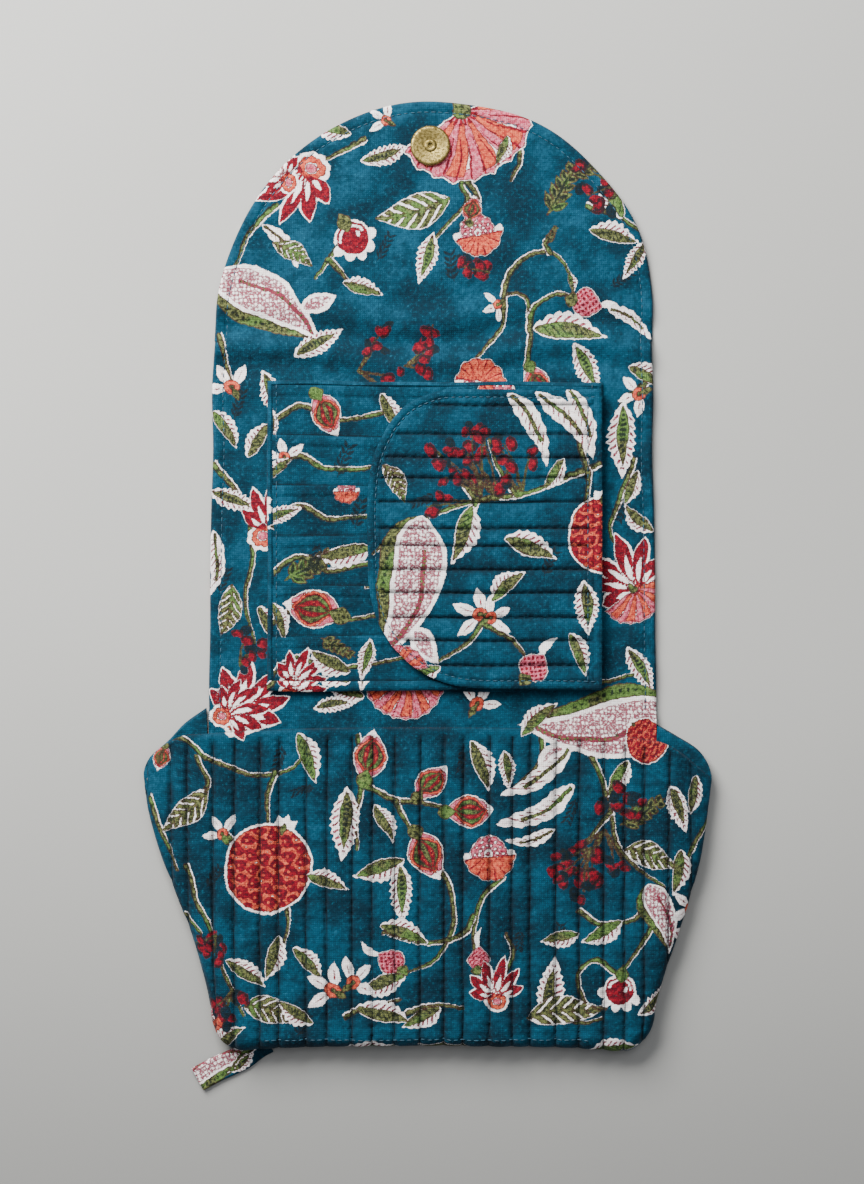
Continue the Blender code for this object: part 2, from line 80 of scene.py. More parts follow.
fold_y = {joint["name"]: joint["pos_m"][1] / MM for joint in frame["joints"]}
SPINE_Y, COVER_Y = fold_y["spine_fold"], fold_y["cover_fold"]
TURN_Y, FLAP_Y = fold_y["turn_fold"], fold_y["flap_fold"]
WALL = high("cover_lining")[2]
POUCH_TOP = high("front_shell")[2]
FRONT_UNDER = low("front_lining")[2]
MOUTH_Y = high("front_shell")[1]
PANEL_HALF, FLAP_R = high("spine_lining")[0], high("flap_lining")[0]
TIP_Y = high("flap_lining")[1]
print("folds at", [round(v, 1) for v in (SPINE_Y, COVER_Y, TURN_Y, FLAP_Y)], "tip at", round(TIP_Y, 1))

# %% [markdown]
# ## Camera, light and floor
# The pouch lies on a pale table and is seen from straight above, so the camera looks down -Z through a
# long lens, which keeps the perspective flat. One large soft light, a window on the far left beyond the
# flap, makes the quilting read, because each channel then has a lit and a shaded flank. A weaker light
# from the ceiling and a grey sky fill the shadows.

# %% Camera looking straight down
VIEW_DISTANCE = 1.6
VIEW_HEIGHT = 0.5328  # how much of the table the picture's long side spans
camera_data = bpy.data.cameras.new("camera")
camera = bpy.data.objects.new("camera", camera_data)
bpy.context.scene.collection.objects.link(camera)
camera.location = (0.0002, 0.0025, VIEW_DISTANCE)
camera_data.lens = camera_data.sensor_width * VIEW_DISTANCE / VIEW_HEIGHT
bpy.context.scene.camera = camera
print("lens", round(camera_data.lens, 1), "mm")


# %% Lights and world
def add_area_light(name, place, size, power, colour):
    light = bpy.data.lights.new(name, "AREA")
    light.shape = "RECTANGLE"
    light.size, light.size_y = size
    light.energy = power
    light.color = colour
    lamp = bpy.data.objects.new(name, light)
    lamp.location = place
    aim = -lamp.location.normalized()
    lamp.rotation_euler = aim.to_track_quat("-Z", "Y").to_euler()
    bpy.context.scene.collection.objects.link(lamp)


add_area_light("window", (-0.48, 0.76, 0.68), (0.75, 0.65), 47.0, (1.0, 0.99, 0.965))
add_area_light("ceiling", (0.35, 0.45, 1.5), (0.9, 0.9), 7.0, (0.98, 0.99, 1.0))
world = bpy.data.worlds.new("studio")
world.use_nodes = True
world.node_tree.nodes["Background"].inputs["Color"].default_value = (0.93, 0.95, 1.0, 1.0)
world.node_tree.nodes["Background"].inputs["Strength"].default_value = 0.35
bpy.context.scene.world = world
print("lights", [lamp.name for lamp in bpy.data.lights], "and a world of strength 0.35")

# %% [markdown]
# ## Cloth as grids
# A sewn wall has a face, a back and an edge where the two are turned in together. Here it is one closed
# mesh: a fine grid for the face that is looked at, a coarser grid for the back, and a strip that joins
# them. The grid has to follow an outline with round ends. A Coons patch does that: it takes the four
# sides of the outline and fills the inside by mixing them, so the grid lines hug the edge.


# %% Curves and patches
def smoothstep(low_end, high_end, value):
    share = np.clip((value - low_end) / (high_end - low_end), 0, 1)
    return share * share * (3 - 2 * share)


def resample(points, count):
    """The same polyline with count points at equal distances along it."""
    points = np.asarray(points, float)
    steps = np.linalg.norm(np.diff(points, axis=0), axis=1)
    along = np.concatenate([[0], np.cumsum(steps)])
    wanted = np.linspace(0, along[-1], count)
    return np.stack([np.interp(wanted, along, points[:, k]) for k in range(points.shape[1])], axis=1)


def smooth_curve(points, per_span=24):
    """A Catmull-Rom curve through given points."""
    p = np.asarray(points, float)
    p = np.concatenate([[2 * p[0] - p[1]], p, [2 * p[-1] - p[-2]]])
    t = np.linspace(0, 1, per_span, endpoint=False)[:, None]
    spans = []
    for a, b, c, d in zip(p, p[1:], p[2:], p[3:]):
        spans.append(
            0.5 * (2 * b + (c - a) * t + (2 * a - 5 * b + 4 * c - d) * t**2 + (3 * b - a - 3 * c + d) * t**3)
        )
    return np.concatenate(spans + [p[-2:-1]])


def arc(centre, radii, start, end, count=60):
    turn = np.radians(np.linspace(start, end, count))
    return np.stack([centre[0] + radii[0] * np.cos(turn), centre[1] + radii[1] * np.sin(turn)], axis=1)


def coons(bottom, top, left, right):
    """A grid of points (rows, columns, 2) inside four sides. The first row is the bottom side."""
    u = np.linspace(0, 1, len(bottom))[None, :, None]
    v = np.linspace(0, 1, len(left))[:, None, None]
    corners = (
        (1 - u) * (1 - v) * bottom[0] + u * (1 - v) * bottom[-1] + (1 - u) * v * top[0] + u * v * top[-1]
    )
    across = (1 - v) * bottom[None] + v * top[None]
    along = (1 - u) * left[:, None] + u * right[:, None]
    return across + along - corners


def nearest_on(points, line):
    """How far each point is from a polyline, on which side it is, and how far along the nearest place is."""
    flat = points.reshape(-1, 2)
    dense = resample(line, int(max(3, np.linalg.norm(np.diff(line, axis=0), axis=1).sum() / 0.5)))
    heading = np.gradient(dense, axis=0)
    heading /= np.linalg.norm(heading, axis=1, keepdims=True)
    nearest = np.empty(len(flat), int)
    for start in range(0, len(flat), 4000):
        block = flat[start : start + 4000]
        nearest[start : start + 4000] = ((block[:, None] - dense[None]) ** 2).sum(2).argmin(1)
    away = flat - dense[nearest]
    side = heading[nearest, 0] * away[:, 1] - heading[nearest, 1] * away[:, 0]
    shape = points.shape[:-1]
    distance, share = np.linalg.norm(away, axis=1), nearest / (len(dense) - 1)
    return distance.reshape(shape), side.reshape(shape), share.reshape(shape)


def odd(length, spacing):
    """How many points a side needs at this spacing, one more than an even number."""
    return int(round(length / spacing / 2)) * 2 + 1


def ripple(x, y, size, seed, waves=7):
    """Soft unevenness of about unit height and the given size, the same each run."""
    rng = np.random.default_rng(seed)
    total = 0
    for angle, phase, stretch in rng.uniform((0, 0, 0.6), (math.tau, math.tau, 1.5), (waves, 3)):
        way = x * math.cos(angle) + y * math.sin(angle)
        total = total + np.sin(math.tau * stretch / size * way + phase)
    return total / math.sqrt(waves)


quarter = arc((0, 0), (1, 1), 0, 90)
print("a quarter circle of", len(quarter), "points is", round(float(np.ptp(quarter[:, 0])), 2), "across")


# %% [markdown]
# make_mesh writes the arrays straight into a Blender mesh. The cloth's own flat coordinates go into the
# UV map: the print and the weave are drawn on those, so they stay put when the cloth bends at a fold.

# %% Closed walls from two grids
INKS = ("white", "pink", "orange", "red", "green", "dark", "dots")


def add_faces(mesh, corners, totals):
    mesh.loops.add(len(corners))
    mesh.loops.foreach_set("vertex_index", np.asarray(corners, np.int32))
    mesh.polygons.add(len(totals))
    starts = np.concatenate([[0], np.cumsum(totals)[:-1]]).astype(np.int32)
    mesh.polygons.foreach_set("loop_start", starts)
    mesh.update(calc_edges=True)


def quads(rows, columns, first, flip):
    index = np.arange(rows * columns).reshape(rows, columns) + first
    a, b, c, d = index[:-1, :-1], index[:-1, 1:], index[1:, 1:], index[1:, :-1]
    order = (a, d, c, b) if flip else (a, b, c, d)
    return np.stack(order, axis=-1).reshape(-1)


def rim(rows, columns, first, step=1):
    """The grid's outer loop of vertices, anticlockwise, with every step-th one kept."""
    index = np.arange(rows * columns).reshape(rows, columns) + first
    loop = np.concatenate([index[0, :-1], index[:-1, -1], index[-1, :0:-1], index[:0:-1, 0]])
    return loop[::step]


def make_mesh(name, face, back, face_cloth, back_cloth, material, sharp_degrees=38):
    """A closed mesh from a face grid and a back grid that has all, or every second one, of its points."""
    step = 1 if face.shape[:2] == back.shape[:2] else 2
    rows, columns = face.shape[:2]
    back_rows, back_columns = back.shape[:2]
    verts = np.concatenate([face.reshape(-1, 3), back.reshape(-1, 3)]) * MM
    first_back = rows * columns
    upper, lower = rim(rows, columns, 0), rim(back_rows, back_columns, first_back)
    corners = [quads(rows, columns, 0, False), quads(back_rows, back_columns, first_back, True)]
    totals = [4] * ((len(corners[0]) + len(corners[1])) // 4)
    sides = []
    for index in range(len(lower)):
        fine = [upper[(index * step + k) % len(upper)] for k in range(step, -1, -1)]
        sides += [lower[index], lower[(index + 1) % len(lower)], *fine]
        totals.append(step + 3)
    mesh = bpy.data.meshes.new(name)
    mesh.vertices.add(len(verts))
    mesh.vertices.foreach_set("co", verts.astype(np.float32).ravel())
    corners = np.concatenate([*corners, np.array(sides)])
    add_faces(mesh, corners, totals)
    cloth = np.concatenate([face_cloth.reshape(-1, 2), back_cloth.reshape(-1, 2)])
    uv = mesh.uv_layers.new(name="cloth")
    uv.data.foreach_set("uv", (cloth[corners] * MM).astype(np.float32).ravel())
    mesh.shade_smooth()
    mesh.set_sharp_from_angle(angle=math.radians(sharp_degrees))
    mesh.materials.append(material)
    piece = bpy.data.objects.new(name, mesh)
    bpy.context.scene.collection.objects.link(piece)
    return piece, cloth


def store_inks(piece, inks):
    for ink in INKS:
        attribute = piece.data.attributes.new(ink, "FLOAT", "POINT")
        attribute.data.foreach_set("value", inks[ink].astype(np.float32))


print("attributes for the inks:", ", ".join(INKS))

# %% [markdown]
# ## Relief
# Quilting is a row of channels: a sewn line pulls face and back together, and the wadding lifts the cloth
# between two lines. A repeating texture would look stamped, so the lines are laid out one by one with an
# uneven pitch, and the height between them is a rounded crown with small puckers along the thread.


# %% Sewn channels
def sewn_lines(first, last, pitch, seed):
    count = int(round((last - first) / pitch))
    uneven = np.random.default_rng(seed).uniform(-0.15, 0.15, count + 1)
    return np.linspace(first, last, count + 1) + uneven * pitch


def quilting(across, along, lines, depth, seed):
    """Height of the cloth below its crowns, and how far away the nearest sewn line is."""
    drift = across + 0.35 * ripple(along, 0 * along, 90, seed)
    after = np.clip(np.searchsorted(lines, drift), 1, len(lines) - 1)
    before_line, width = lines[after - 1], lines[after] - lines[after - 1]
    share = np.clip((drift - before_line) / width, 0, 1)
    seam = np.minimum(share, 1 - share) * width
    crown = 1 - np.abs(2 * share**0.85 - 1) ** 2.1
    lean = 1 + 0.45 * np.sin(after * 12.9898) + 0.35 * ripple(along, 37.0 * after, 70, seed + 1)
    tuck = 0.7 * np.exp(-((seam / 0.8) ** 2))
    phase = np.sin(after * 78.233) * 40
    pucker = 0.2 * np.sin(math.tau * along / 4.3 + phase) * np.exp(-seam / 2.4)
    return -depth * lean * (1 - crown) - tuck + pucker, seam


FRONT_LINES = sewn_lines(-139, 137, 10.1, 4)
FLAP_LINES = sewn_lines(-52, 106, 10.4, 9)
print("front channels", len(FRONT_LINES), "side flap channels", len(FLAP_LINES))


# %% Smaller helpers for a sewn wall
def turn_edge(face, back, gap, radius=1.7):
    """Close face and back onto each other where the cloth turns in; gap is the distance to the edge."""
    share = 1 - np.clip(gap / radius, 0, 1)
    pull = ((1 - np.sqrt(1 - share**2)) * 0.95)[..., None]
    middle = (face + back) / 2
    return face + (middle - face) * pull, back + (middle - back) * pull


def flat_wall(plan, top, bottom):
    """Face and back points over one plan."""
    face = np.concatenate([plan, np.broadcast_to(top, plan.shape[:2])[..., None]], axis=-1)
    back = np.concatenate([plan, np.broadcast_to(bottom, plan.shape[:2])[..., None]], axis=-1)
    return face, back


# %% [markdown]
# ## The print
# Block printing uses one carved block for each ink, over a dyed ground. The print here works the same
# way. For each ink every point of the cloth stores how far inside that block's shape it lies, in
# millimetres, and the material later draws ink where the value is above zero. The edge can so be much
# sharper than the mesh is fine. A motif first clears what is under it, then adds its own inks, so motifs
# overlap as a printer would plan them.


# %% Shapes that motifs are made of
def disc(u, v, x=0.0, y=0.0, wide=0.5, tall=0.5):
    return (1 - np.hypot((u - x) / wide, (v - y) / tall)) * min(wide, tall)


def leaf(u, v, width, start=0.0, end=1.0, curve=0.0, point=0.85):
    share = np.clip((u - start) / (end - start), 0, 1)
    half = width / 2 * np.sin(math.pi * share**point)
    return half - np.abs(v - curve * np.sin(math.pi * share)) - np.abs(u - start - share * (end - start))


def turned(u, v, degrees, x=0.0, y=0.0):
    c, s = math.cos(math.radians(degrees)), math.sin(math.radians(degrees))
    return (u - x) * c + (v - y) * s, (v - y) * c - (u - x) * s


def stripes(value, period, share=0.5):
    return share * period / 2 - np.abs((value / period) % 1 - 0.5) * period


def scallops(u, v, count, radius, depth, x=0.0, y=0.0):
    """A disc with a frilled edge."""
    angle = np.arctan2(v - y, u - x)
    return radius - depth * (1 - np.abs(np.sin(angle * count / 2))) - np.hypot(u - x, v - y)


def both(*parts):
    return np.minimum.reduce(parts)


def any_of(*parts):
    return np.maximum.reduce(parts)


# %% Leaves
def striped_leaf(u, v):
    body = leaf(u, v, 0.42, curve=0.06)
    veins = stripes(u * 0.8 - np.abs(v - 0.05) * 0.9, 0.125, 0.64)
    rib = 0.018 - np.abs(v - 0.06 * np.sin(math.pi * u))
    green = any_of(both(body - 0.015, veins), both(body, rib))
    return {"outline": body, "white": body, "green": green}


def serrated_leaf(u, v):
    along = np.clip(u, 0, 1)
    teeth = 0.055 * (np.abs(((u * 10 - np.abs(v) * 3) % 1) - 0.5) * 2 - 0.4) * np.sin(math.pi * along)
    body = leaf(u, v, 0.36) + teeth
    heart = leaf(u, v, 0.17, 0.06, 0.84, 0.02)
    vein = both(leaf(u, v, 0.09, 0.1, 0.76, 0.02), stripes(u, 0.07, 0.62))
    ticks = both(body - 0.035, stripes(u - 0.7 * np.abs(v), 0.1, 0.24), -heart - 0.02)
    return {"outline": body, "white": body, "pink": ticks, "green": heart, "dark": vein}


def half_leaf(u, v):
    body = leaf(u, v, 0.4, curve=0.08)
    side = v - 0.1 * np.sin(math.pi * np.clip(u, 0, 1))
    white = body + np.where(side > 0, 0.045 * np.abs(np.sin(u * 24)) - 0.02, -0.01)
    ticks = both(body - 0.05, side - 0.03, stripes(u - 0.8 * side, 0.11, 0.26))
    green = both(body - 0.03, 0.025 - side)
    veins = both(green - 0.02, stripes(u + 0.9 * side, 0.095, 0.3))
    return {"outline": white, "white": white, "pink": ticks, "green": green, "dark": veins}


def long_leaf(u, v):
    lobes = 0.02 * np.abs(np.sin(u * 19)) * (u > 0.2)
    body = leaf(u, v, 0.22, curve=0.1, point=0.7) + lobes
    line = both(0.02 - np.abs(v - 0.1 * np.sin(math.pi * np.clip(u, 0, 1))), u - 0.05, 0.72 - u)
    ticks = both(leaf(u, v, 0.15, 0.15, 0.9, 0.1), stripes(u + 1.4 * v, 0.1, 0.2))
    return {
        "outline": body, "white": body, "green": line, "pink": ticks,
        "dark": both(line - 0.01, stripes(u, 0.06, 0.4))
    }


def leaf_spray(u, v):
    """A dark olive leaf with small lobes, as if lying behind the rest."""
    lobes = [
        leaf(*turned(u, v, sign * 48, 0.12 + 0.17 * k, 0), 0.13, 0, 0.3 - 0.03 * k)
        for k in range(5)
        for sign in (-1, 1)
    ]
    body = any_of(leaf(u, v, 0.12), *lobes)
    return {"outline": body - 9, "green": body, "dark": body - 0.035, "white": leaf(u, v, 0.03, 0.1, 0.9)}


def fern(u, v):
    fronds = [
        leaf(*turned(u, v, sign * 40, 0.1 + 0.19 * k, 0), 0.1, 0.03, 0.34)
        for k in range(5)
        for sign in (-1, 1)
    ]
    stalk = 0.02 - np.abs(v) - np.clip(np.abs(u - 0.5) - 0.5, 0, 9)
    return {"outline": u * 0 - 9, "dark": any_of(stalk, *fronds)}


# %% Flowers and buds
def fan_flower(u, v):
    """Petals that open like a fan along +u from a green cup."""
    angle, radius = np.arctan2(v, u), np.hypot(u, v)
    wedge = (math.radians(82) - np.abs(angle)) * radius
    frill = 0.045 * np.abs(np.sin(angle * 11))
    body = both(1.0 - frill - radius, wedge)
    rays = stripes(angle + 0.1, math.pi / 5.5, 0.16) * radius
    pink = any_of(
        both(body - 0.02, -both(rays, 0.36 - np.abs(radius - 0.5))), both(body - 0.02, radius - 0.8)
    )
    petals = both(
        stripes(angle + 0.1 + 0.2 * radius, math.pi / 5.5, 0.5) * radius, radius - 0.2, 0.9 - radius,
        wedge - 0.02
    )
    rays = both(stripes(angle, math.pi / 15, 0.18) * radius, radius - 0.4, body - 0.03)
    core = both(0.26 - radius, wedge)
    red = any_of(rays, both(core - 0.02, stripes(angle, 0.35, 0.6) * radius))
    cup = any_of(leaf(*turned(u, v, 180, 0.12), 0.16, 0, 0.34), disc(u, v, 0.02, 0, 0.11, 0.13))
    return {
        "outline": any_of(body, cup), "white": body, "pink": pink, "orange": petals, "red": red, "green": cup,
    }  # fmt: skip


def star_flower(u, v):
    petals, hearts, bites = [], [], []
    for degrees, reach in ((-76, 0.72), (-44, 0.9), (-14, 1.0), (18, 0.98), (48, 0.86), (80, 0.66)):
        pu, pv = turned(u, v, degrees)
        petals.append(leaf(pu, pv, 0.3, 0, reach, point=1.3))
        hearts.append(leaf(pu, pv, 0.25, 0.02, reach * 0.97, 0.02, 1.3))
        bites.append(leaf(pu, pv, 0.09, 0.16, reach * 0.6))
    body = any_of(*petals)
    cup = scallops(u, v, 9, 0.3, 0.03, -0.12)
    ring = scallops(u, v, 9, 0.22, 0.02, -0.12)
    return {
        "outline": any_of(body, cup), "white": any_of(body, cup),
        "red": both(any_of(*hearts), -any_of(*bites)),
        "orange": both(ring, -scallops(u, v, 7, 0.12, 0.02, -0.12)), "pink": disc(u, v, -0.12, 0, 0.09, 0.09),
    }  # fmt: skip


def daisy(u, v):
    """A round head: a pink cap with pale seeds, and a skirt of orange petals along +u."""
    angle, radius = np.arctan2(v, u + 0.06), np.hypot(u + 0.06, v)
    wedge = (math.radians(98) - np.abs(angle)) * radius
    skirt = both(0.62 + 0.05 * np.abs(np.sin(angle * 5.5)) - radius, wedge)
    cap = scallops(u, v, 13, 0.47, 0.03, -0.1)
    ring = np.round((radius - 0.08) / 0.13) * 0.13 + 0.08
    round_ring = ((angle * 12 / math.tau + ring * 40) % 1 - 0.5) * math.tau / 12 * ring
    seeds = 0.042 - np.hypot(radius - ring, round_ring)
    upper = both(cap - 0.02, 0.1 - u)
    lines = both(skirt - 0.01, stripes(angle, math.pi / 8, 0.2) * radius)
    return {
        "outline": any_of(skirt, cap), "white": any_of(cap, skirt), "pink": both(upper, -seeds),
        "orange": both(skirt - 0.02, u - 0.02),
        "red": any_of(lines, both(upper, -seeds - 0.02, stripes(radius, 0.13, 0.3))),
        "dark": both(cap + 0.03, -cap, -u),
    }  # fmt: skip


def berry(u, v):
    frill = any_of(*[disc(*turned(u, v, degrees), 0.55, 0, 0.2, 0.16) for degrees in range(-70, 71, 35)])
    fruit = disc(u, v, 0.05, 0, 0.47, 0.47)
    shine = any_of(
        disc(u, v, 0.0, 0.2, 0.1, 0.05), both(0.4 - np.hypot(u - 0.05, v), np.hypot(u - 0.05, v) - 0.33, -u)
    )
    cup = leaf(*turned(u, v, 180, -0.1), 0.42, 0.1, 0.7)
    return {
        "outline": any_of(frill, fruit, cup), "white": any_of(frill, fruit + 0.06, shine),
        "red": both(fruit, -shine), "green": cup
    }


def pomegranate(u, v):
    body = disc(u, v, 0, 0, 0.9, 0.86)
    row = np.floor(u / 0.25)
    cell_u, cell_v = u - (row + 0.5) * 0.25, (v + row * 0.14) % 0.28 - 0.14
    cells = 0.118 - np.hypot(cell_u, cell_v * 0.9) + 0.02 * np.sin(u * 31 + v * 17)
    seeds = 0.03 - np.hypot(cell_u + 0.02, cell_v - 0.03)
    crown = any_of(*[leaf(*turned(u, v, degrees, 0.75, 0), 0.2, 0, 0.36) for degrees in (-34, 0, 34)])
    return {
        "outline": any_of(body, crown), "white": any_of(body, crown),
        "orange": both(body - 0.05, body * 0 + 0.2, cells + 0.05),
        "red": both(body - 0.05, cells, -seeds), "green": leaf(u, v, 0.12, 0.7, 0.95),
    }  # fmt: skip


def paisley(u, v):
    """A long dotted cone with a curled tip and a green edge on one side."""
    body = any_of(leaf(u, v, 0.37, 0, 1.0, 0.08, 0.6), leaf(*turned(u, v, 55, 0.72, 0.12), 0.16, 0, 0.3))
    edge = both(leaf(u, v, 0.46, 0, 0.96, 0.03, 0.6), -body, -v + 0.05)
    line = 0.013 - np.abs(v - 0.16 * np.sin(math.pi * np.clip(u, 0, 1)) + 0.03)
    return {
        "outline": any_of(body, edge), "white": body, "dots": body - 0.03,
        "green": any_of(edge, both(body - 0.03, line, u - 0.2)),
        "dark": both(edge - 0.03, stripes(u, 0.05, 0.4)),
    }  # fmt: skip


def strawberry(u, v):
    body = leaf(u, v, 0.62, 0, 0.62, point=0.7)
    checks = both(body - 0.03, stripes(u + v, 0.12, 0.62), stripes(u - v, 0.12, 0.62))
    tail = leaf(u, v, 0.16, 0.5, 1.1, 0.08)
    cup = leaf(*turned(u, v, 180, 0.12), 0.3, 0, 0.3)
    return {
        "outline": any_of(body, tail, cup), "white": any_of(body, tail), "pink": body - 0.02, "red": checks,
        "green": cup
    }


def tulip(u, v):
    """A closed bud: outer petals fold over a middle one, each with a broad olive heart."""
    sides = [leaf(u, v * sign, 0.3, 0, 1.0, 0.17, 0.8) for sign in (-1, 1)]
    middle = leaf(u, v, 0.34, 0.05, 0.9)
    body = any_of(*sides, middle)
    hearts = any_of(
        *[leaf(u, v * sign, 0.085, 0.2, 0.8, 0.19) for sign in (-1, 1)], leaf(u, v, 0.1, 0.25, 0.74)
    )
    folds = both(body - 0.02, 0.014 - np.abs(np.abs(v) - 0.09 * np.sin(math.pi * np.clip(u, 0, 1))))
    cup = leaf(u, v, 0.3, -0.14, 0.22)
    pink = both(body - 0.015, 0.86 - u, -(0.03 - np.abs(hearts + 0.05)))
    return {
        "outline": any_of(body, cup), "white": body + 0.012, "pink": pink,
        "red": any_of(folds, both(hearts + 0.032, body)),
        "orange": both(hearts + 0.075, body - 0.01), "green": any_of(cup, hearts),
        "dark": both(hearts - 0.02, stripes(u + v, 0.07, 0.35)),
    }  # fmt: skip


def open_bud(u, v):
    petals = any_of(*[leaf(*turned(u, v, degrees), 0.36, 0.05, 0.95, point=1.1) for degrees in (-62, 0, 62)])
    veins = any_of(*[leaf(*turned(u, v, degrees), 0.05, 0.3, 0.75) for degrees in (-62, 0, 62)])
    heart = disc(u, v, 0.05, 0, 0.26, 0.24)
    cup = leaf(*turned(u, v, 180, 0.0), 0.24, 0, 0.5)
    return {
        "outline": any_of(petals, heart, cup), "white": petals, "orange": heart,
        "red": any_of(veins, disc(u, v, 0.05, 0, 0.12, 0.1)), "green": any_of(cup, heart - 0.17)
    }


def small_berry(u, v):
    body = disc(u, v, 0, 0, 1.0, 0.72)
    shine = disc(u, v, 0.1, 0.26, 0.5, 0.26)
    return {
        "outline": body, "red": body, "pink": shine, "dark": both(body, 0.34 - body, 0.2 - v),
        "white": shine - 0.12
    }


def dark_berry(u, v):
    body = disc(u, v, 0, 0, 1.0, 0.7)
    return {"outline": body, "dark": body}


# %% Stamping and stems
def stamp(cloth, inks, motif, x, y, size, degrees=0):
    du, dv = cloth[:, 0] - x, cloth[:, 1] - y
    near = np.flatnonzero(du * du + dv * dv < (1.25 * size) ** 2)
    if len(near) == 0:
        return
    u, v = turned(du[near] / size, dv[near] / size, degrees)
    shapes = motif(u, v)
    outline = shapes.pop("outline") * size
    for ink in INKS:
        kept = np.minimum(inks[ink][near], -outline)
        inks[ink][near] = np.maximum(kept, shapes[ink] * size) if ink in shapes else kept


def draw_stem(cloth, inks, points, width=1.9, light=True):
    """A curling stem that thins towards its tip, olive with a white edge on one side."""
    line = smooth_curve(points, 10)
    near = np.flatnonzero(((cloth > line.min(0) - 4) & (cloth < line.max(0) + 4)).all(1))
    if len(near) == 0:
        return
    away, side, share = nearest_on(cloth[near], line)
    thick = width * (1.15 - 0.6 * share)
    tips = away - np.abs(side)
    stem = thick / 2 - np.abs(side) - tips
    for ink in ("pink", "red", "orange", "dark", "dots"):
        inks[ink][near] = np.minimum(inks[ink][near], -stem)
    if light:
        edge = thick * 0.26 - np.abs(side - thick * 0.6) - tips
        inks["white"][near] = np.maximum(inks["white"][near], edge)
        inks["green"][near] = np.minimum(inks["green"][near], -edge)
        shade = 0.2 * thick - np.abs(side + thick * 0.42) - tips
        inks["dark"][near] = np.maximum(inks["dark"][near], shade)
    inks["green"][near] = np.maximum(inks["green"][near], stem)


def berry_branch(cloth, inks, x, y, size, degrees):
    """Thin stems that carry small berries, some of them printed dark as if behind."""
    rng = np.random.default_rng(int(abs(x * 7 + y * 13)))
    for _ in range(max(5, int(size / 4.2))):
        away, turn = size * rng.uniform(0.25, 1.0), degrees + rng.uniform(-50, 50)
        tip = np.array([x + away * math.cos(math.radians(turn)), y + away * math.sin(math.radians(turn))])
        halfway = ((x + tip[0]) / 2 + rng.uniform(-2, 2), (y + tip[1]) / 2)
        draw_stem(cloth, inks, [(x, y), halfway, tuple(tip)], 0.8, False)
        for kind in (dark_berry, small_berry, small_berry):
            spot = tip + rng.uniform(-4.0, 4.0, 2)
            stamp(cloth, inks, kind, *spot, rng.uniform(2.3, 3.5), rng.uniform(0, 180))


# %% [markdown]
# ## Where the motifs go
# One long sheet of print holds every piece: the panel and the pocket's front lie at their true places,
# and the side flap and the card slots are cut from other parts of the sheet, further along x. Each entry
# is a motif, the place of its root or centre, its size and the direction it grows in.

# %% Layout of the panel
FLAP_X, SLOT_X = 300, -300  # where on the sheet the side flap and the first card slot are cut
SLOT_STEP = 200  # how much further along each next slot is cut
STEMS = [
    [(18, 196), (14, 186), (16, 178), (8, 168), (0, 160)], [(16, 188), (20, 180), (21, 172)],
    [(-36, 166), (-46, 152), (-52, 144)], [(-46, 152), (-38, 142)], [(-96, 118), (-92, 104), (-90, 96)],
    [(43, 98), (43.5, 112), (44.5, 124), (43.5, 133), (38.8, 137.4), (32.5, 136)],
    [(44, 120), (46.5, 130), (53.6, 136), (60, 136.6), (66, 134)],
    [(32.5, 136), (34.5, 144), (38.5, 149.5), (45, 154), (53.6, 155), (59, 151), (62, 144.6)],
    [(32.5, 136), (32, 122), (24, 113), (19, 106)], [(53.6, 155), (51, 159), (54, 162)],
    [(70, 176), (82, 172), (96, 164)], [(90, 62), (84, 44), (80, 30), (88, 14)],
    [(-98, 60), (-86, 44), (-80, 20), (-84, 0), (-80, -20)], [(-90, 48), (-84, 36)],
    [(96, 96), (86, 88), (82, 74)], [(-70, 176), (-82, 164), (-88, 150)],
    [(38, 206), (40, 196), (36, 188)], [(-30, 206), (-40, 200), (-52, 196)],
    [(60, -30), (76, -38), (92, -34)], [(-46, 10), (-60, -10), (-64, -34)],
]
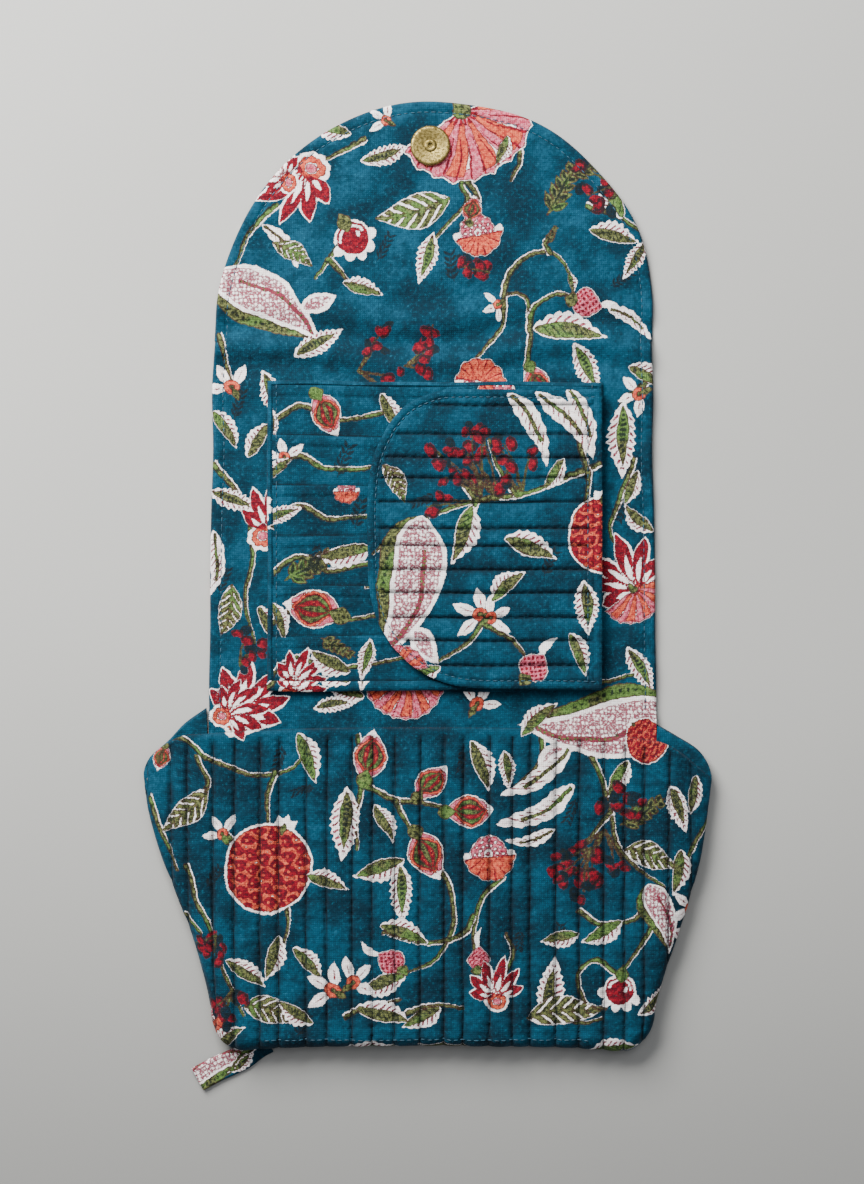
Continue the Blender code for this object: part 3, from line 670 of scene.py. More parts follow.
MOTIFS = [
    (fern, -24, 152, 12, 60), (fern, 10, 142, 13, 100), (fern, 80, 140, 12, 30), (fern, -88, 80, 13, 80),
    (fern, -70, 200, 9, 20), (fern, 88, 46, 12, 250), (fern, -96, 2, 12, 70),
    (fan_flower, 13, 219, 33, -62), (star_flower, -56, 191, 27, 225), (star_flower, -66, 188, 17, 135),
    (serrated_leaf, -32, 196, 22, 14), (striped_leaf, 9, 180, 36, 196), (serrated_leaf, 1, 164, 24, 255),
    (berry, -36, 162, 15, -60), (daisy, 21, 163, 17, -78), (tulip, 17, 168, 13, 80),
    (long_leaf, -76, 168, 26, -52), (striped_leaf, -72, 160, 22, -30), (half_leaf, -40, 141, 19, -18),
    (paisley, -98, 145, 58, -32), (serrated_leaf, -62, 108, 26, 30), (leaf_spray, 52, 172, 28, 60),
    (half_leaf, 86, 170, 24, 110), (leaf_spray, 62, 190, 22, 20), (half_leaf, 70, 165, 24, -14),
    (serrated_leaf, 96, 160, 20, 240), (strawberry, 64, 134, 21, -14), (long_leaf, 79, 130, 25, -36),
    (half_leaf, 45, 121, 34, -8), (half_leaf, 61, 146, 10, -72), (leaf_spray, 52, 159, 9, 60),
    (open_bud, 30, 132, 9, 210), (tulip, 44, 104, 18, -70), (daisy, 22, 97, 18, 85),
    (serrated_leaf, 64, 114, 26, -62), (half_leaf, 88, 104, 20, -30), (open_bud, 94, 92, 12, 200),
    (open_bud, -90, 94, 13, 120), (serrated_leaf, -76, 102, 22, -70), (half_leaf, -98, 84, 20, -60),
    (serrated_leaf, -100, 48, 24, -20), (half_leaf, -82, 62, 20, 60), (star_flower, -74, 30, 24, 60),
    (long_leaf, -98, 30, 30, -95), (striped_leaf, -90, 6, 24, -100), (half_leaf, -78, -4, 24, -60),
    (serrated_leaf, 86, 88, 34, -92), (half_leaf, 92, 58, 18, -110), (star_flower, 92, 4, 27, 125),
    (fan_flower, 90, 4, 16, -60), (serrated_leaf, 88, -22, 24, -60), (half_leaf, 100, 30, 18, 140),
    (star_flower, -86, -52, 27, 62), (star_flower, -92, -52, 20, 20), (serrated_leaf, -54, -50, 22, 12),
    (fan_flower, -12, -36, 19, -88), (half_leaf, -30, -44, 18, 160), (open_bud, 20, -48, 12, 60),
    (paisley, 108, -52, 70, 184), (half_leaf, 40, -62, 22, 40), (half_leaf, 34, 208, 16, 250),
    (open_bud, -20, 214, 10, 150), (half_leaf, -36, 208, 20, 160),
]  # fmt: skip
STEMS += [
    [(-60, -24), (-44, -4), (-40, 18), (-48, 42), (-41, 66)], [(-40, 18), (-24, 28), (-12, 34)],
    [(-48, 42), (-58, 50), (-61, 58)], [(28, -30), (44, -8), (40, 18), (50, 42), (45, 64)],
    [(40, 18), (24, 10), (10, 4)], [(44, -8), (54, -18), (60, -22)],
]  # these and the next motifs lie under the card insert, and show on the shell
MOTIFS += [
    (tulip, -41, 64, 22, 80), (daisy, -61, 58, 13, 110), (pomegranate, 4, 40, 17, 20),
    (star_flower, 44, 62, 23, 84), (berry, 6, 2, 14, 200), (fern, 12, 70, 14, 100),
    (half_leaf, -42, 2, 24, 164), (half_leaf, -44, 28, 24, 150), (serrated_leaf, -42, 10, 22, -30),
    (serrated_leaf, 46, 8, 24, -24), (striped_leaf, 44, 32, 26, 160), (half_leaf, 50, 40, 22, 20),
    (open_bud, 60, -22, 13, 10), (half_leaf, 30, -26, 22, 190), (paisley, -36, -30, 40, 16),
    (fern, -10, -8, 13, 250), (half_leaf, 14, 52, 20, 60),
]
BRANCHES = [
    (-20, 56, 24, 80), (-34, 102, 26, 12), (-12, 104, 24, 40), (84, 186, 18, 200), (26, 146, 14, 170),
    (-86, -30, 14, 60),
]

# %% Layout of the pocket's front and sides
STEMS += [
    [(-128, -72), (-112, -66), (-98, -72), (-80, -79), (-64, -77), (-53, -66)],
    [(-104, -72), (-100, -84), (-108, -92)], [(-70, -78), (-74, -90), (-73, -100)],
    [(-92, -106), (-86, -110), (-82, -108)],
    [(-110, -120), (-104, -138), (-98, -152), (-92, -170), (-84, -186)],
    [(-33, -62), (-31, -80), (-33, -96), (-34, -112)], [(-31, -84), (-16, -90), (-2, -92), (14, -96)],
    [(-16, -90), (-10, -104), (-4, -112)], [(31, -124), (22, -136), (18.5, -147), (19, -158), (20, -163)],
    [(-5, -112), (5, -124), (9.5, -140), (8, -152), (2, -162), (-10, -166)],
    [(18, -142), (14, -150), (4, -154), (-12, -153), (-22, -150)],
    [(64, -60), (74, -76), (80, -96), (84, -112), (96, -124), (104, -130)],
    [(50, -62), (48, -74), (38, -84)], [(80, -96), (70, -108)], [(-66, -132), (-64, -146), (-66, -156)],
    [(84, -168), (74, -162), (66, -168), (68, -180), (78, -184)],
    [(66, -140), (76, -146), (90, -144), (98, -134)], [(98, -146), (92, -158), (86, -166)],
    [(-38, -188), (-26, -182), (-14, -180)], [(30, -172), (36, -160), (34, -150)],
    [(-112, -142), (-104, -150)], [(126, -100), (118, -110), (112, -126)],
    [(-126, -92), (-120, -106), (-114, -122)], [(56, -186), (66, -190), (76, -188)],
    [(-10, -186), (2, -182), (14, -184)],
]
MOTIFS += [
    (fern, -66, -66, 12, 250), (fern, -52, -84, 11, 200), (fern, 46, -112, 12, 90),
    (fern, 64, -90, 11, 250), (fern, 56, -158, 12, 80), (fern, 40, -148, 10, 260),
    (fern, -60, -196, 11, 60), (fern, -20, -150, 10, 30), (fern, 14, -68, 10, 260),
    (fern, -100, -130, 11, 60), (tulip, -118, -70, 12, 250), (striped_leaf, -100, -86, 27, 222),
    (striped_leaf, -128, -84, 20, 150), (open_bud, -93, -106, 11, 120), (half_leaf, -60, -60, 24, -72),
    (pomegranate, -73, -121, 23, 68), (half_leaf, -56, -124, 20, -20), (tulip, -30, -82, 23, 78),
    (serrated_leaf, -37, -84, 34, -96), (half_leaf, -26, -92, 20, -66), (tulip, -6, -90, 19, 52),
    (tulip, 6, -96, 22, 4), (tulip, -8, -104, 24, -62), (half_leaf, 18, -64, 24, -72),
    (serrated_leaf, 32, -68, 18, -80), (long_leaf, 62, -66, 38, 216), (long_leaf, 64, -84, 40, 206),
    (long_leaf, 56, -104, 24, 190), (pomegranate, 96, -64, 11, 130), (half_leaf, 88, -72, 20, 240),
    (leaf_spray, 84, -102, 24, 30), (striped_leaf, 86, -112, 26, -22), (serrated_leaf, 106, -84, 22, -70),
    (half_leaf, 118, -80, 18, -100), (daisy, 26, -116, 17, -85), (half_leaf, -12, -116, 24, 200),
    (serrated_leaf, -14, -118, 28, -88), (paisley, 96, -128, 34, -70), (half_leaf, 112, -112, 22, -100),
    (half_leaf, 86, -144, 22, 206), (strawberry, -14, -166, 20, 142), (strawberry, 20, -166, 17, 84),
    (half_leaf, -12, -168, 22, -160), (star_flower, 29, -178, 18, 94), (half_leaf, -24, -147, 24, -18),
    (half_leaf, -68, -150, 22, -108), (half_leaf, -62, -156, 20, -50), (half_leaf, -92, -162, 22, -36),
    (striped_leaf, -84, -182, 26, -18), (open_bud, -44, -176, 14, 150), (open_bud, -36, -172, 13, 40),
    (half_leaf, -34, -184, 26, -14), (serrated_leaf, 52, -192, 32, 84), (striped_leaf, 42, -188, 34, 6),
    (berry, 84, -175, 14, -100), (serrated_leaf, 92, -186, 22, 30), (half_leaf, -52, -190, 20, 150),
    (daisy, -100, -190, 14, -60), (half_leaf, 4, -182, 20, -150), (half_leaf, 66, -150, 18, 190),
    (open_bud, 118, -140, 12, 200), (striped_leaf, -140, -100, 22, -60), (half_leaf, 140, -90, 22, 250),
    (open_bud, 134, -70, 14, 200), (half_leaf, -136, -130, 22, -90), (serrated_leaf, 132, -120, 24, -100),
    (half_leaf, -40, -208, 26, 10), (half_leaf, 20, -206, 26, 170), (half_leaf, 70, -206, 24, 10),
    (half_leaf, -100, -206, 22, 40), (serrated_leaf, -140, -60, 20, -40),
]  # fmt: skip
BRANCHES += [
    (78, -104, 34, 248), (72, -112, 26, 220), (-90, -176, 18, 250), (-96, -150, 12, 250),
    (88, -98, 14, 120),
]

# %% Layout of the side flap and the card slots
STEMS += [
    [(FLAP_X + x, y) for x, y in stem]
    for stem in (
        [(74, 60), (56, 52), (38, 46), (20, 44), (4, 38), (-14, 30), (-26, 20)],
        [(38, 46), (30, 58), (26, 70)], [(20, 44), (12, 54), (2, 66)],
        [(22, -2), (22, -12), (14, -22), (2, -28)], [(22, -12), (34, -18), (42, -26)],
        [(66, 70), (70, 50), (68, 30)], [(20, 44), (18, 36), (17, 30)],
    )
]
MOTIFS += [
    (paisley, 198, 158, 40, 178), (half_leaf, 158, 157, 18, 20), (serrated_leaf, 172, 164, 14, 200),
]  # where the tab is cut
MOTIFS += [
    (motif, FLAP_X + x, y, size, turn)
    for motif, x, y, size, turn in (
        (fern, 0, 8, 11, 240), (fern, 50, 10, 12, 60), (fern, 2, 46, 12, 200), (long_leaf, 34, 92, 38, -62),
        (long_leaf, 46, 92, 38, -48), (long_leaf, 60, 94, 34, -70),
        (paisley, -4, 36, 68, 254), (half_leaf, 18, 42, 28, 250), (half_leaf, 32, 26, 26, -22),
        (open_bud, 22, -8, 14, 160), (open_bud, 26, -10, 12, 30),
        (pomegranate, 77, 28, 19, 90), (serrated_leaf, 68, 8, 26, -84), (half_leaf, 26, -2, 22, 40),
        (strawberry, 42, -36, 22, 52), (half_leaf, 4, -30, 22, 200),
        (half_leaf, 62, -16, 20, -70), (striped_leaf, -22, 60, 20, -60), (fan_flower, -16, -36, 16, 100),
        (half_leaf, 60, 62, 18, 230),
    )
]  # fmt: skip
BRANCHES += [(FLAP_X + 30, 44, 34, 140), (FLAP_X + 22, 46, 30, 120), (FLAP_X + 40, 46, 24, 110)]
SLOT_PRINT = (
    [
        (tulip, -52, 92, 22, -62), (serrated_leaf, -74, 88, 20, -80), (half_leaf, -24, 92, 20, -60),
        (daisy, 30, 88, 18, 200), (half_leaf, 60, 84, 22, 160)
    ],
    [
        (open_bud, -66, 62, 11, 100), (fern, -42, 54, 16, 70), (half_leaf, -74, 52, 16, 40),
        (half_leaf, 10, 64, 24, -10), (tulip, 40, 60, 20, 20)
    ],
    [
        (fern, -34, 30, 15, 80), (daisy, -38, 48, 9, -90), (serrated_leaf, -76, 34, 20, 20),
        (berry, 20, 40, 12, 30), (half_leaf, 50, 36, 24, 190)
    ],
    [
        (leaf_spray, -66, 8, 26, 28), (half_leaf, -26, 22, 26, 186), (fern, -50, 24, 12, 250),
        (striped_leaf, 20, 16, 28, 10), (open_bud, 64, 14, 12, 80)
    ],
    [
        (tulip, -40, -8, 27, 168), (half_leaf, -72, -2, 18, -70), (half_leaf, -30, 4, 16, 20),
        (paisley, 10, -6, 40, 10), (half_leaf, 66, -6, 18, 60)
    ],
    [
        (star_flower, -62, -38, 18, 50), (serrated_leaf, -28, -18, 20, -100), (leaf_spray, -50, -18, 18, -30),
        (half_leaf, -36, -34, 22, 150), (daisy, 30, -26, 18, -60)
    ],
)
for index, entries in enumerate(SLOT_PRINT):
    MOTIFS += [(motif, SLOT_X - SLOT_STEP * index + x, y, size, turn) for motif, x, y, size, turn in entries]
    vine = np.array([(-74, -8), (-60, 2), (-46, -4), (-28, -2), (0, 4)])
    STEMS.append(vine + (SLOT_X - SLOT_STEP * index, 84 - 22.5 * index))
print("motifs", len(MOTIFS), "stems", len(STEMS), "berry branches", len(BRANCHES))


# %% Print a piece of cloth
def print_cloth(piece, cloth):
    x, y = cloth[:, 0], cloth[:, 1]
    carved = 0.16 * ripple(x, y, 4.5, 51, 9) + 0.5 * ripple(x, y, 26, 53)
    slanted = 0.16 * ripple(x, y, 4.5, 52, 9) + 0.5 * ripple(x, y, 26, 54)
    cloth = cloth + np.stack([carved, slanted], axis=1)  # hand-cut blocks are never quite true
    inks = {ink: np.full(len(cloth), -3.0) for ink in INKS}
    for points in STEMS:
        draw_stem(cloth, inks, points)
    for motif, x, y, size, degrees in MOTIFS:
        stamp(cloth, inks, motif, x, y, size, degrees)
    for branch in BRANCHES:
        if np.hypot(cloth[:, 0] - branch[0], cloth[:, 1] - branch[1]).min() < branch[2]:
            berry_branch(cloth, inks, *branch)
    store_inks(piece, {ink: np.clip(inks[ink], -3, 3) for ink in INKS})


FAR = 5.0  # millimetres: what a point stores when no sewn line is near it


def store_seam_and_shade(piece, seam):
    """Distance to the nearest sewn line or to an edge with painted shade, from which the material draws the
    thread and painted shade.
    """
    attribute = piece.data.attributes.new("seam", "FLOAT", "POINT")
    attribute.data.foreach_set("value", np.clip(seam, 0, FAR).astype(np.float32))

# %% [markdown]
# ## Materials
# The print material reads one attribute for each ink. A little noise is added to each distance, so that
# ink edges are ragged as on hand-blocked cotton, and the inks are laid over a mottled indigo-teal ground.
# The weave and the fine crumple of washed cotton are bumps on the cloth's own coordinates.


# %% Node helpers
def rgb(red, green, blue):
    """A colour from its usual 0 to 255 values, in the linear values that shaders use."""
    linear = [c / 3294.6 if c <= 10 else ((c / 255 + 0.055) / 1.055) ** 2.4 for c in (red, green, blue)]
    return (*linear, 1.0)


def add_node(tree, kind, inputs, **settings):
    node = tree.nodes.new(kind)
    for key, value in settings.items():
        setattr(node, key, value)
    for key, value in inputs.items():
        if isinstance(value, bpy.types.NodeSocket):
            tree.links.new(value, node.inputs[key])
        else:
            node.inputs[key].default_value = value
    return node


def start_material(name, roughness, metallic=0.0):
    material = bpy.data.materials.new(name)
    material.use_nodes = True
    shader = material.node_tree.nodes["Principled BSDF"]
    shader.inputs["Roughness"].default_value = roughness
    shader.inputs["Metallic"].default_value = metallic
    return material, material.node_tree, shader


def noise(tree, vector, scale, detail=2.0, roughness=0.5):
    inputs = {"Vector": vector, "Scale": scale, "Detail": detail, "Roughness": roughness}
    return add_node(tree, "ShaderNodeTexNoise", inputs).outputs["Fac"]


def ramp(tree, value, low_end, high_end, to_low=0.0, to_high=1.0):
    inputs = {"Value": value, "From Min": low_end, "From Max": high_end, "To Min": to_low, "To Max": to_high}
    return add_node(tree, "ShaderNodeMapRange", inputs, interpolation_type="SMOOTHSTEP").outputs["Result"]


def mix(tree, share, first, second, how="MIX"):
    node = add_node(tree, "ShaderNodeMix", {0: share, 6: first, 7: second}, data_type="RGBA", blend_type=how)
    return node.outputs[2]


def maths(tree, operation, first, second):
    return add_node(tree, "ShaderNodeMath", {0: first, 1: second}, operation=operation).outputs[0]


# %% Block-printed cotton
INK_COLOURS = {
    "white": (rgb(254, 253, 252), rgb(242, 230, 227)),
    "pink": (rgb(218, 126, 142), rgb(166, 56, 78)),
    "orange": (rgb(216, 102, 70), rgb(162, 48, 38)),
    "red": (rgb(140, 10, 30), rgb(80, 6, 22)),
    "green": (rgb(108, 112, 64), rgb(34, 36, 18)),
    "dark": (rgb(6, 14, 26), rgb(20, 22, 18)),
}


def make_print_cotton():
    material, tree, shader = start_material("block_printed_cotton", 0.86)
    cloth = add_node(tree, "ShaderNodeUVMap", {}, uv_map="cloth").outputs["UV"]
    fine, grain = noise(tree, cloth, 1100, 3, 0.7), noise(tree, cloth, 620, 4, 0.75)
    blotch, cloud = noise(tree, cloth, 42, 3, 0.6), noise(tree, cloth, 150, 2)
    colour = mix(tree, ramp(tree, blotch, 0.34, 0.66), rgb(3, 32, 47), rgb(13, 65, 87))
    colour = mix(tree, ramp(tree, grain, 0.5, 0.74, 0, 0.6), colour, rgb(32, 98, 122))
    colour = mix(tree, ramp(tree, grain, 0.34, 0.48, 0.5, 0), colour, rgb(1, 22, 34))
    colour = mix(tree, ramp(tree, cloud, 0.3, 0.52, 0.5, 0), colour, rgb(2, 29, 43))
    ragged = maths(tree, "MULTIPLY", maths(tree, "SUBTRACT", fine, 0.5), 1.5)
    for ink, (light, deep) in INK_COLOURS.items():
        inside = add_node(tree, "ShaderNodeAttribute", {}, attribute_name=ink).outputs["Fac"]
        inside = maths(tree, "ADD", inside, ragged)
        cover = ramp(tree, inside, -0.12, 0.12)
        worn = ramp(tree, fine, 0.6, 0.72, 1.0, 0.8)
        shade = mix(tree, ramp(tree, grain, 0.42, 0.6), deep, light)
        if ink == "green":
            bright = mix(tree, ramp(tree, grain, 0.36, 0.56), rgb(30, 50, 16), rgb(94, 126, 60))
            shade = mix(tree, ramp(tree, blotch, 0.5, 0.58, 0, 0.85), shade, bright)
        if ink in ("pink", "orange", "green"):
            line = ramp(tree, maths(tree, "ABSOLUTE", inside, 0), 0.1, 0.34, 0.8, 0)
            shade = mix(tree, line, shade, rgb(58, 26, 24))
            cover = ramp(tree, inside, -0.3, -0.14)
        if ink == "dark":
            worn = ramp(tree, fine, 0.5, 0.7, 0.9, 0.45)
        colour = mix(tree, maths(tree, "MULTIPLY", cover, worn), colour, shade)
    dotted = add_node(tree, "ShaderNodeAttribute", {}, attribute_name="dots").outputs["Fac"]
    spots = add_node(tree, "ShaderNodeTexVoronoi", {"Vector": cloth, "Scale": 580.0, "Randomness": 0.5})
    spot = ramp(tree, spots.outputs["Distance"], 0.3, 0.48, 0, 0.95)
    spot = maths(tree, "MULTIPLY", spot, ramp(tree, fine, 0.36, 0.5, 0.25, 1))
    colour = mix(tree, maths(tree, "MULTIPLY", spot, ramp(tree, dotted, -0.1, 0.2)), colour, rgb(128, 44, 64))
    # Painted shade: the seam attribute is the distance to the nearest sewn line, to where the next card
    # slot's lip lies, or to the pocket's mouth. Within 2.6 mm the colour is multiplied darker, as painted
    # shade in the quilted channels.
    seam = add_node(tree, "ShaderNodeAttribute", {}, attribute_name="seam").outputs["Fac"]
    channel = mix(tree, ramp(tree, seam, 0.2, 2.6, 0.36, 0), (1, 1, 1, 1), rgb(90, 104, 112))
    colour = mix(tree, 1.0, colour, channel, "MULTIPLY")
    # A near-black line within half a millimetre: partly the sewn thread, partly painted shade in the groove;
    # at slots and the mouth it is the painted shadow line.
    colour = mix(tree, ramp(tree, seam, 0.08, 0.52, 0.8, 0), colour, rgb(3, 14, 20))
    warp = add_node(tree, "ShaderNodeTexWave", {"Vector": cloth, "Scale": 345.0}, bands_direction="X")
    weft = add_node(tree, "ShaderNodeTexWave", {"Vector": cloth, "Scale": 370.0}, bands_direction="Y")
    weave = maths(tree, "MULTIPLY", warp.outputs["Fac"], weft.outputs["Fac"])
    colour = mix(tree, ramp(tree, weave, 0, 0.5, 0.3, 0), colour, (0.0, 0.01, 0.015, 1))
    tree.links.new(colour, shader.inputs["Base Color"])
    crumple = noise(tree, cloth, 190, 3, 0.55)
    soft = add_node(tree, "ShaderNodeBump", {"Height": crumple, "Strength": 0.55, "Distance": 0.0016})
    bumps = {"Height": weave, "Strength": 0.5, "Distance": 0.00012, "Normal": soft.outputs[0]}
    thread = add_node(tree, "ShaderNodeBump", bumps)
    tree.links.new(thread.outputs[0], shader.inputs["Normal"])
    shader.inputs["Sheen Weight"].default_value = 0.03
    shader.inputs["Sheen Roughness"].default_value = 0.5
    shader.inputs["Specular IOR Level"].default_value = 0.12
    return material


PRINT = make_print_cotton()
print(PRINT.name, "has", len(PRINT.node_tree.nodes), "nodes for", len(INK_COLOURS), "inks")


# %% Sewing thread and brass
def make_thread():
    material, tree, shader = start_material("teal_thread", 0.6)
    place = add_node(tree, "ShaderNodeTexCoord", {}).outputs["Object"]
    tone = ramp(tree, noise(tree, place, 1800), 0.35, 0.65)
    tree.links.new(mix(tree, tone, rgb(6, 42, 58), rgb(22, 76, 96)), shader.inputs["Base Color"])
    return material


def make_metal(name, light, deep, roughness, bumps):
    material, tree, shader = start_material(name, roughness, 1.0)
    place = add_node(tree, "ShaderNodeTexCoord", {}).outputs["Object"]
    mottle = noise(tree, place, 850, 5, 0.7)
    tone = ramp(tree, mottle, 0.38, 0.62)
    tree.links.new(mix(tree, tone, light, deep), shader.inputs["Base Color"])
    uneven = ramp(tree, mottle, 0.3, 0.7, roughness - 0.1, roughness + 0.15)
    tree.links.new(uneven, shader.inputs["Roughness"])
    bump = add_node(tree, "ShaderNodeBump", {"Height": mottle, "Strength": bumps, "Distance": 0.0002})
    tree.links.new(bump.outputs[0], shader.inputs["Normal"])
    return material


THREAD = make_thread()
BRASS = make_metal("antique_brass", rgb(158, 140, 84), rgb(88, 76, 40), 0.46, 0.6)
print("other materials:", THREAD.name, "and", BRASS.name)

# %% [markdown]
# ## The table top
# A plain pale sheet. It has no pattern, only a very slow change of tone. Its colour is also painted darker
# towards the near edge: painted shade, standing in for the window's light falling off away from the far side.
# The slab is far larger than the view and lies just under the pouch, so that its own edge never shows and
# the shadows have a surface to fall on.


# %% Floor
FLOOR_HALF = 12000  # the table top reaches well past the picture


def make_floor():
    material, tree, shader = start_material("pale_table", 0.75)
    place = add_node(tree, "ShaderNodeTexCoord", {}).outputs["Object"]
    tone = ramp(tree, noise(tree, place, 2.0, 3), 0.3, 0.7)
    pale = mix(tree, tone, rgb(160, 160, 157), rgb(166, 166, 163))
    painted_shade_y = add_node(tree, "ShaderNodeSeparateXYZ", {"Vector": place}).outputs["Y"]
    # Painted shade: the colour darkens towards the near edge, in place of the window light falling off.
    pale = mix(tree, ramp(tree, painted_shade_y, -0.34, 0.02, 1, 0), pale, rgb(130, 130, 128))
    tree.links.new(pale, shader.inputs["Base Color"])
    grid = np.stack(np.meshgrid(*[np.linspace(-FLOOR_HALF, FLOOR_HALF, 3)] * 2), axis=-1)
    face, back = flat_wall(grid, -0.2, -8.0)
    floor, _ = make_mesh("table_top", face, back, grid, grid, material)


make_floor()
print("table top", 2 * FLOOR_HALF * MM, "m across")

# %% [markdown]
# ## The panel
# The panel is one long quilted wall: the lining faces up, the quilted shell faces down, and their edges
# are turned in.


# %% Outline and surface of the panel
INSERT_LOW, INSERT_HIGH = low("insert_backing"), high("insert_backing")


def panel_half(y):
    return np.interp(y, [-80, -50, 60, FLAP_Y], [PANEL_HALF + 0.6, PANEL_HALF - 0.2, FLAP_R + 1.0, FLAP_R])


def panel_lean(y):
    return 0.5 + 2.9 * smoothstep(95, 190, y)


def lining_height(x, y, gap):
    """The lining lies slack on its wadding: slow waves, a ridge or two by the turn, and a sewn edge."""
    clear = np.maximum(np.abs(x - 1.2) - 75, np.abs(y - 27.7) - 69.3)
    slack = 0.4 * ripple(x, y, 75, 21) + 0.2 * ripple(x, y, 19, 5)
    swell = np.exp(-(((y - 114) / 17) ** 2)) * np.sin(math.tau * (y + 4 * ripple(x, 0 * y, 150, 3)) / 21)
    puckers = 0.16 * np.sin(math.tau * (x * 0.55 + y) / 5.2) * np.exp(-np.abs(gap - 4.5) / 3.2)
    sewn = -0.5 * np.exp(-(((gap - 5) / 0.9) ** 2)) + puckers
    return WALL - 0.1 + (slack + 1.5 * swell) * (0.1 + 0.9 * smoothstep(-2, 9, clear)) + sewn


def shell_height(x, y, gap):
    relief, seam = quilting(x, y, FRONT_LINES, 0.8, 31)
    return -relief * smoothstep(2, 9, gap), seam


# %% Sew one strip of wall
def sew_wall(name, face, back, face_cloth, back_cloth, gap, seams, coarse=False):
    face, back = turn_edge(face, back, gap)
    skip = 2 if coarse else 1
    piece, cloth = make_mesh(
        name, face[::skip, ::skip], back[::2, ::2], face_cloth[::skip, ::skip], back_cloth[::2, ::2], PRINT
    )
    print_cloth(piece, cloth)
    store_seam_and_shade(piece, np.concatenate([seams[0][::skip, ::skip].ravel(), seams[1][::2, ::2].ravel()]))
    print(name, "faces", len(piece.data.polygons))
    return piece


def sew_panel(name, plan, gap, nodes):
    x, y = plan[..., 0], plan[..., 1]
    bottom, shell_seam = shell_height(x, y, gap)
    face, back = flat_wall(plan, lining_height(x, y, gap), bottom)
    no_seam = np.full(x.shape, FAR)
    piece = sew_wall(name, face, back, plan, plan * (-1, 1), gap, (no_seam, shell_seam))
    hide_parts(*nodes)
    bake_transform(piece)
    return piece


def panel_plan(first, last, spacing=0.6):
    """Points of a strip with straight sides, and how far each is from the sides."""
    y = np.linspace(first, last, odd(last - first, spacing))[:, None]
    u = np.linspace(-1, 1, odd(2 * PANEL_HALF, spacing))[None]
    half = panel_half(y) + 0.3 * ripple(0 * y, y, 55, 8)
    return np.stack([panel_lean(y) + u * half, y + 0 * u], axis=-1), half * (1 - np.abs(u))


# %% Back fold, spine and cover strips
# Where the panel is cut into strips. COVER_CUT is the middle of the cover, where nothing bends.
SPINE_CUT, COVER_CUT, TURN_CUT, BACK_CUT = (SPINE_Y + COVER_Y) / 2, 31.4, (TURN_Y + FLAP_Y) / 2, -77.0


def layers(body):
    return [f"{body}_{layer}" for layer in ("shell", "wadding", "lining")]


plan, gap = panel_plan(BACK_CUT, SPINE_CUT)
gap = gap + 6 * (1 - smoothstep(-64, -50, plan[..., 1]))
sew_panel("panel_back_fold", plan, gap, [])
plan, gap = panel_plan(SPINE_CUT, COVER_CUT)
sew_panel("panel_spine", plan, gap, layers("spine"))
plan, gap = panel_plan(COVER_CUT, TURN_CUT)
sew_panel("panel_cover", plan, gap, layers("cover") + layers("turn"))


# %% [markdown]
# The flap ends in a half circle. A square grid is pressed into a half disc, with all its grid lines still
# smooth, by the elliptical mapping x = u sqrt(1 - v^2/2), y = v sqrt(1 - u^2/2).


# %% Flap strip with its round end
def flap_plan(spacing=0.6):
    u = np.linspace(-1, 1, odd(2 * PANEL_HALF, spacing))[None]
    straight = np.linspace(TURN_CUT, FLAP_Y, odd(FLAP_Y - TURN_CUT, spacing))[:-1, None]
    v = np.linspace(0, 1, odd(FLAP_R, spacing))[:, None]
    x = np.concatenate([panel_half(straight) * u, FLAP_R * u * np.sqrt(1 - v * v / 2)])
    y = np.concatenate([straight + 0 * u, FLAP_Y + (TIP_Y - FLAP_Y) * v * np.sqrt(1 - u * u / 2)])
    round_gap = FLAP_R - np.hypot(x, y - FLAP_Y)
    gap = np.where(y > FLAP_Y, round_gap, panel_half(y) - np.abs(x))
    push = 0.45 * ripple(x, y, 60, 14)[..., None] * smoothstep(80, 98, np.hypot(x, y - FLAP_Y))[..., None]
    from_centre = np.stack([x, y - FLAP_Y], axis=-1)
    plan = np.stack([x, y], axis=-1)
    plan = plan + push * from_centre / FLAP_R * smoothstep(FLAP_Y, FLAP_Y + 20, y)[..., None]
    plan[..., 0] += panel_lean(y)
    return plan, np.clip(gap, 0, None)


plan, gap = flap_plan()
sew_panel("panel_flap", plan, gap, layers("flap"))


# %% [markdown]
# ## The pocket
# The pocket's back continues the panel. Its front is quilted in channels that run down from the mouth,
# and the same cloth goes on round both sides and the base, so the front and the gusset share one print
# and one set of channels. The gusset is a band with a C section. It is widest in the ears by the mouth.


# %% Outline of the pocket's front
SIDE_LOW = 95.5
CORNER = 11.0
CORNER_Y = low("front_shell")[1] + CORNER
CORNER_X = SIDE_LOW - CORNER
MOUTH_HALF = high("front_shell")[0]


def mouth_line(x):
    """The mouth's edge droops towards both ears, and more to the right."""
    droop = np.where(x < 0, 2.9, 6.4)
    return MOUTH_Y - 0.5 - droop * np.abs(x / MOUTH_HALF) ** 3


def pocket_plan(top_y, half_top, spacing):
    """A grid inside the pocket's outline, from the base up to a top edge."""
    columns, rows = odd(2 * MOUTH_HALF, spacing), odd(139, spacing)
    base = [
        arc((-CORNER_X, CORNER_Y), (CORNER, CORNER), 225, 270),
        arc((CORNER_X, CORNER_Y), (CORNER, CORNER), 270, 315)
    ]
    x = np.linspace(-half_top, half_top, columns)
    top = np.stack([x, top_y(x)], axis=1)
    left = np.concatenate([arc((-CORNER_X, CORNER_Y), (CORNER, CORNER), 225, 180), top[:1]])
    right = np.concatenate([arc((CORNER_X, CORNER_Y), (CORNER, CORNER), 315, 360), top[-1:]])
    return coons(
        resample(np.concatenate(base), columns), resample(top, columns), resample(left, rows),
        resample(right, rows)
    )


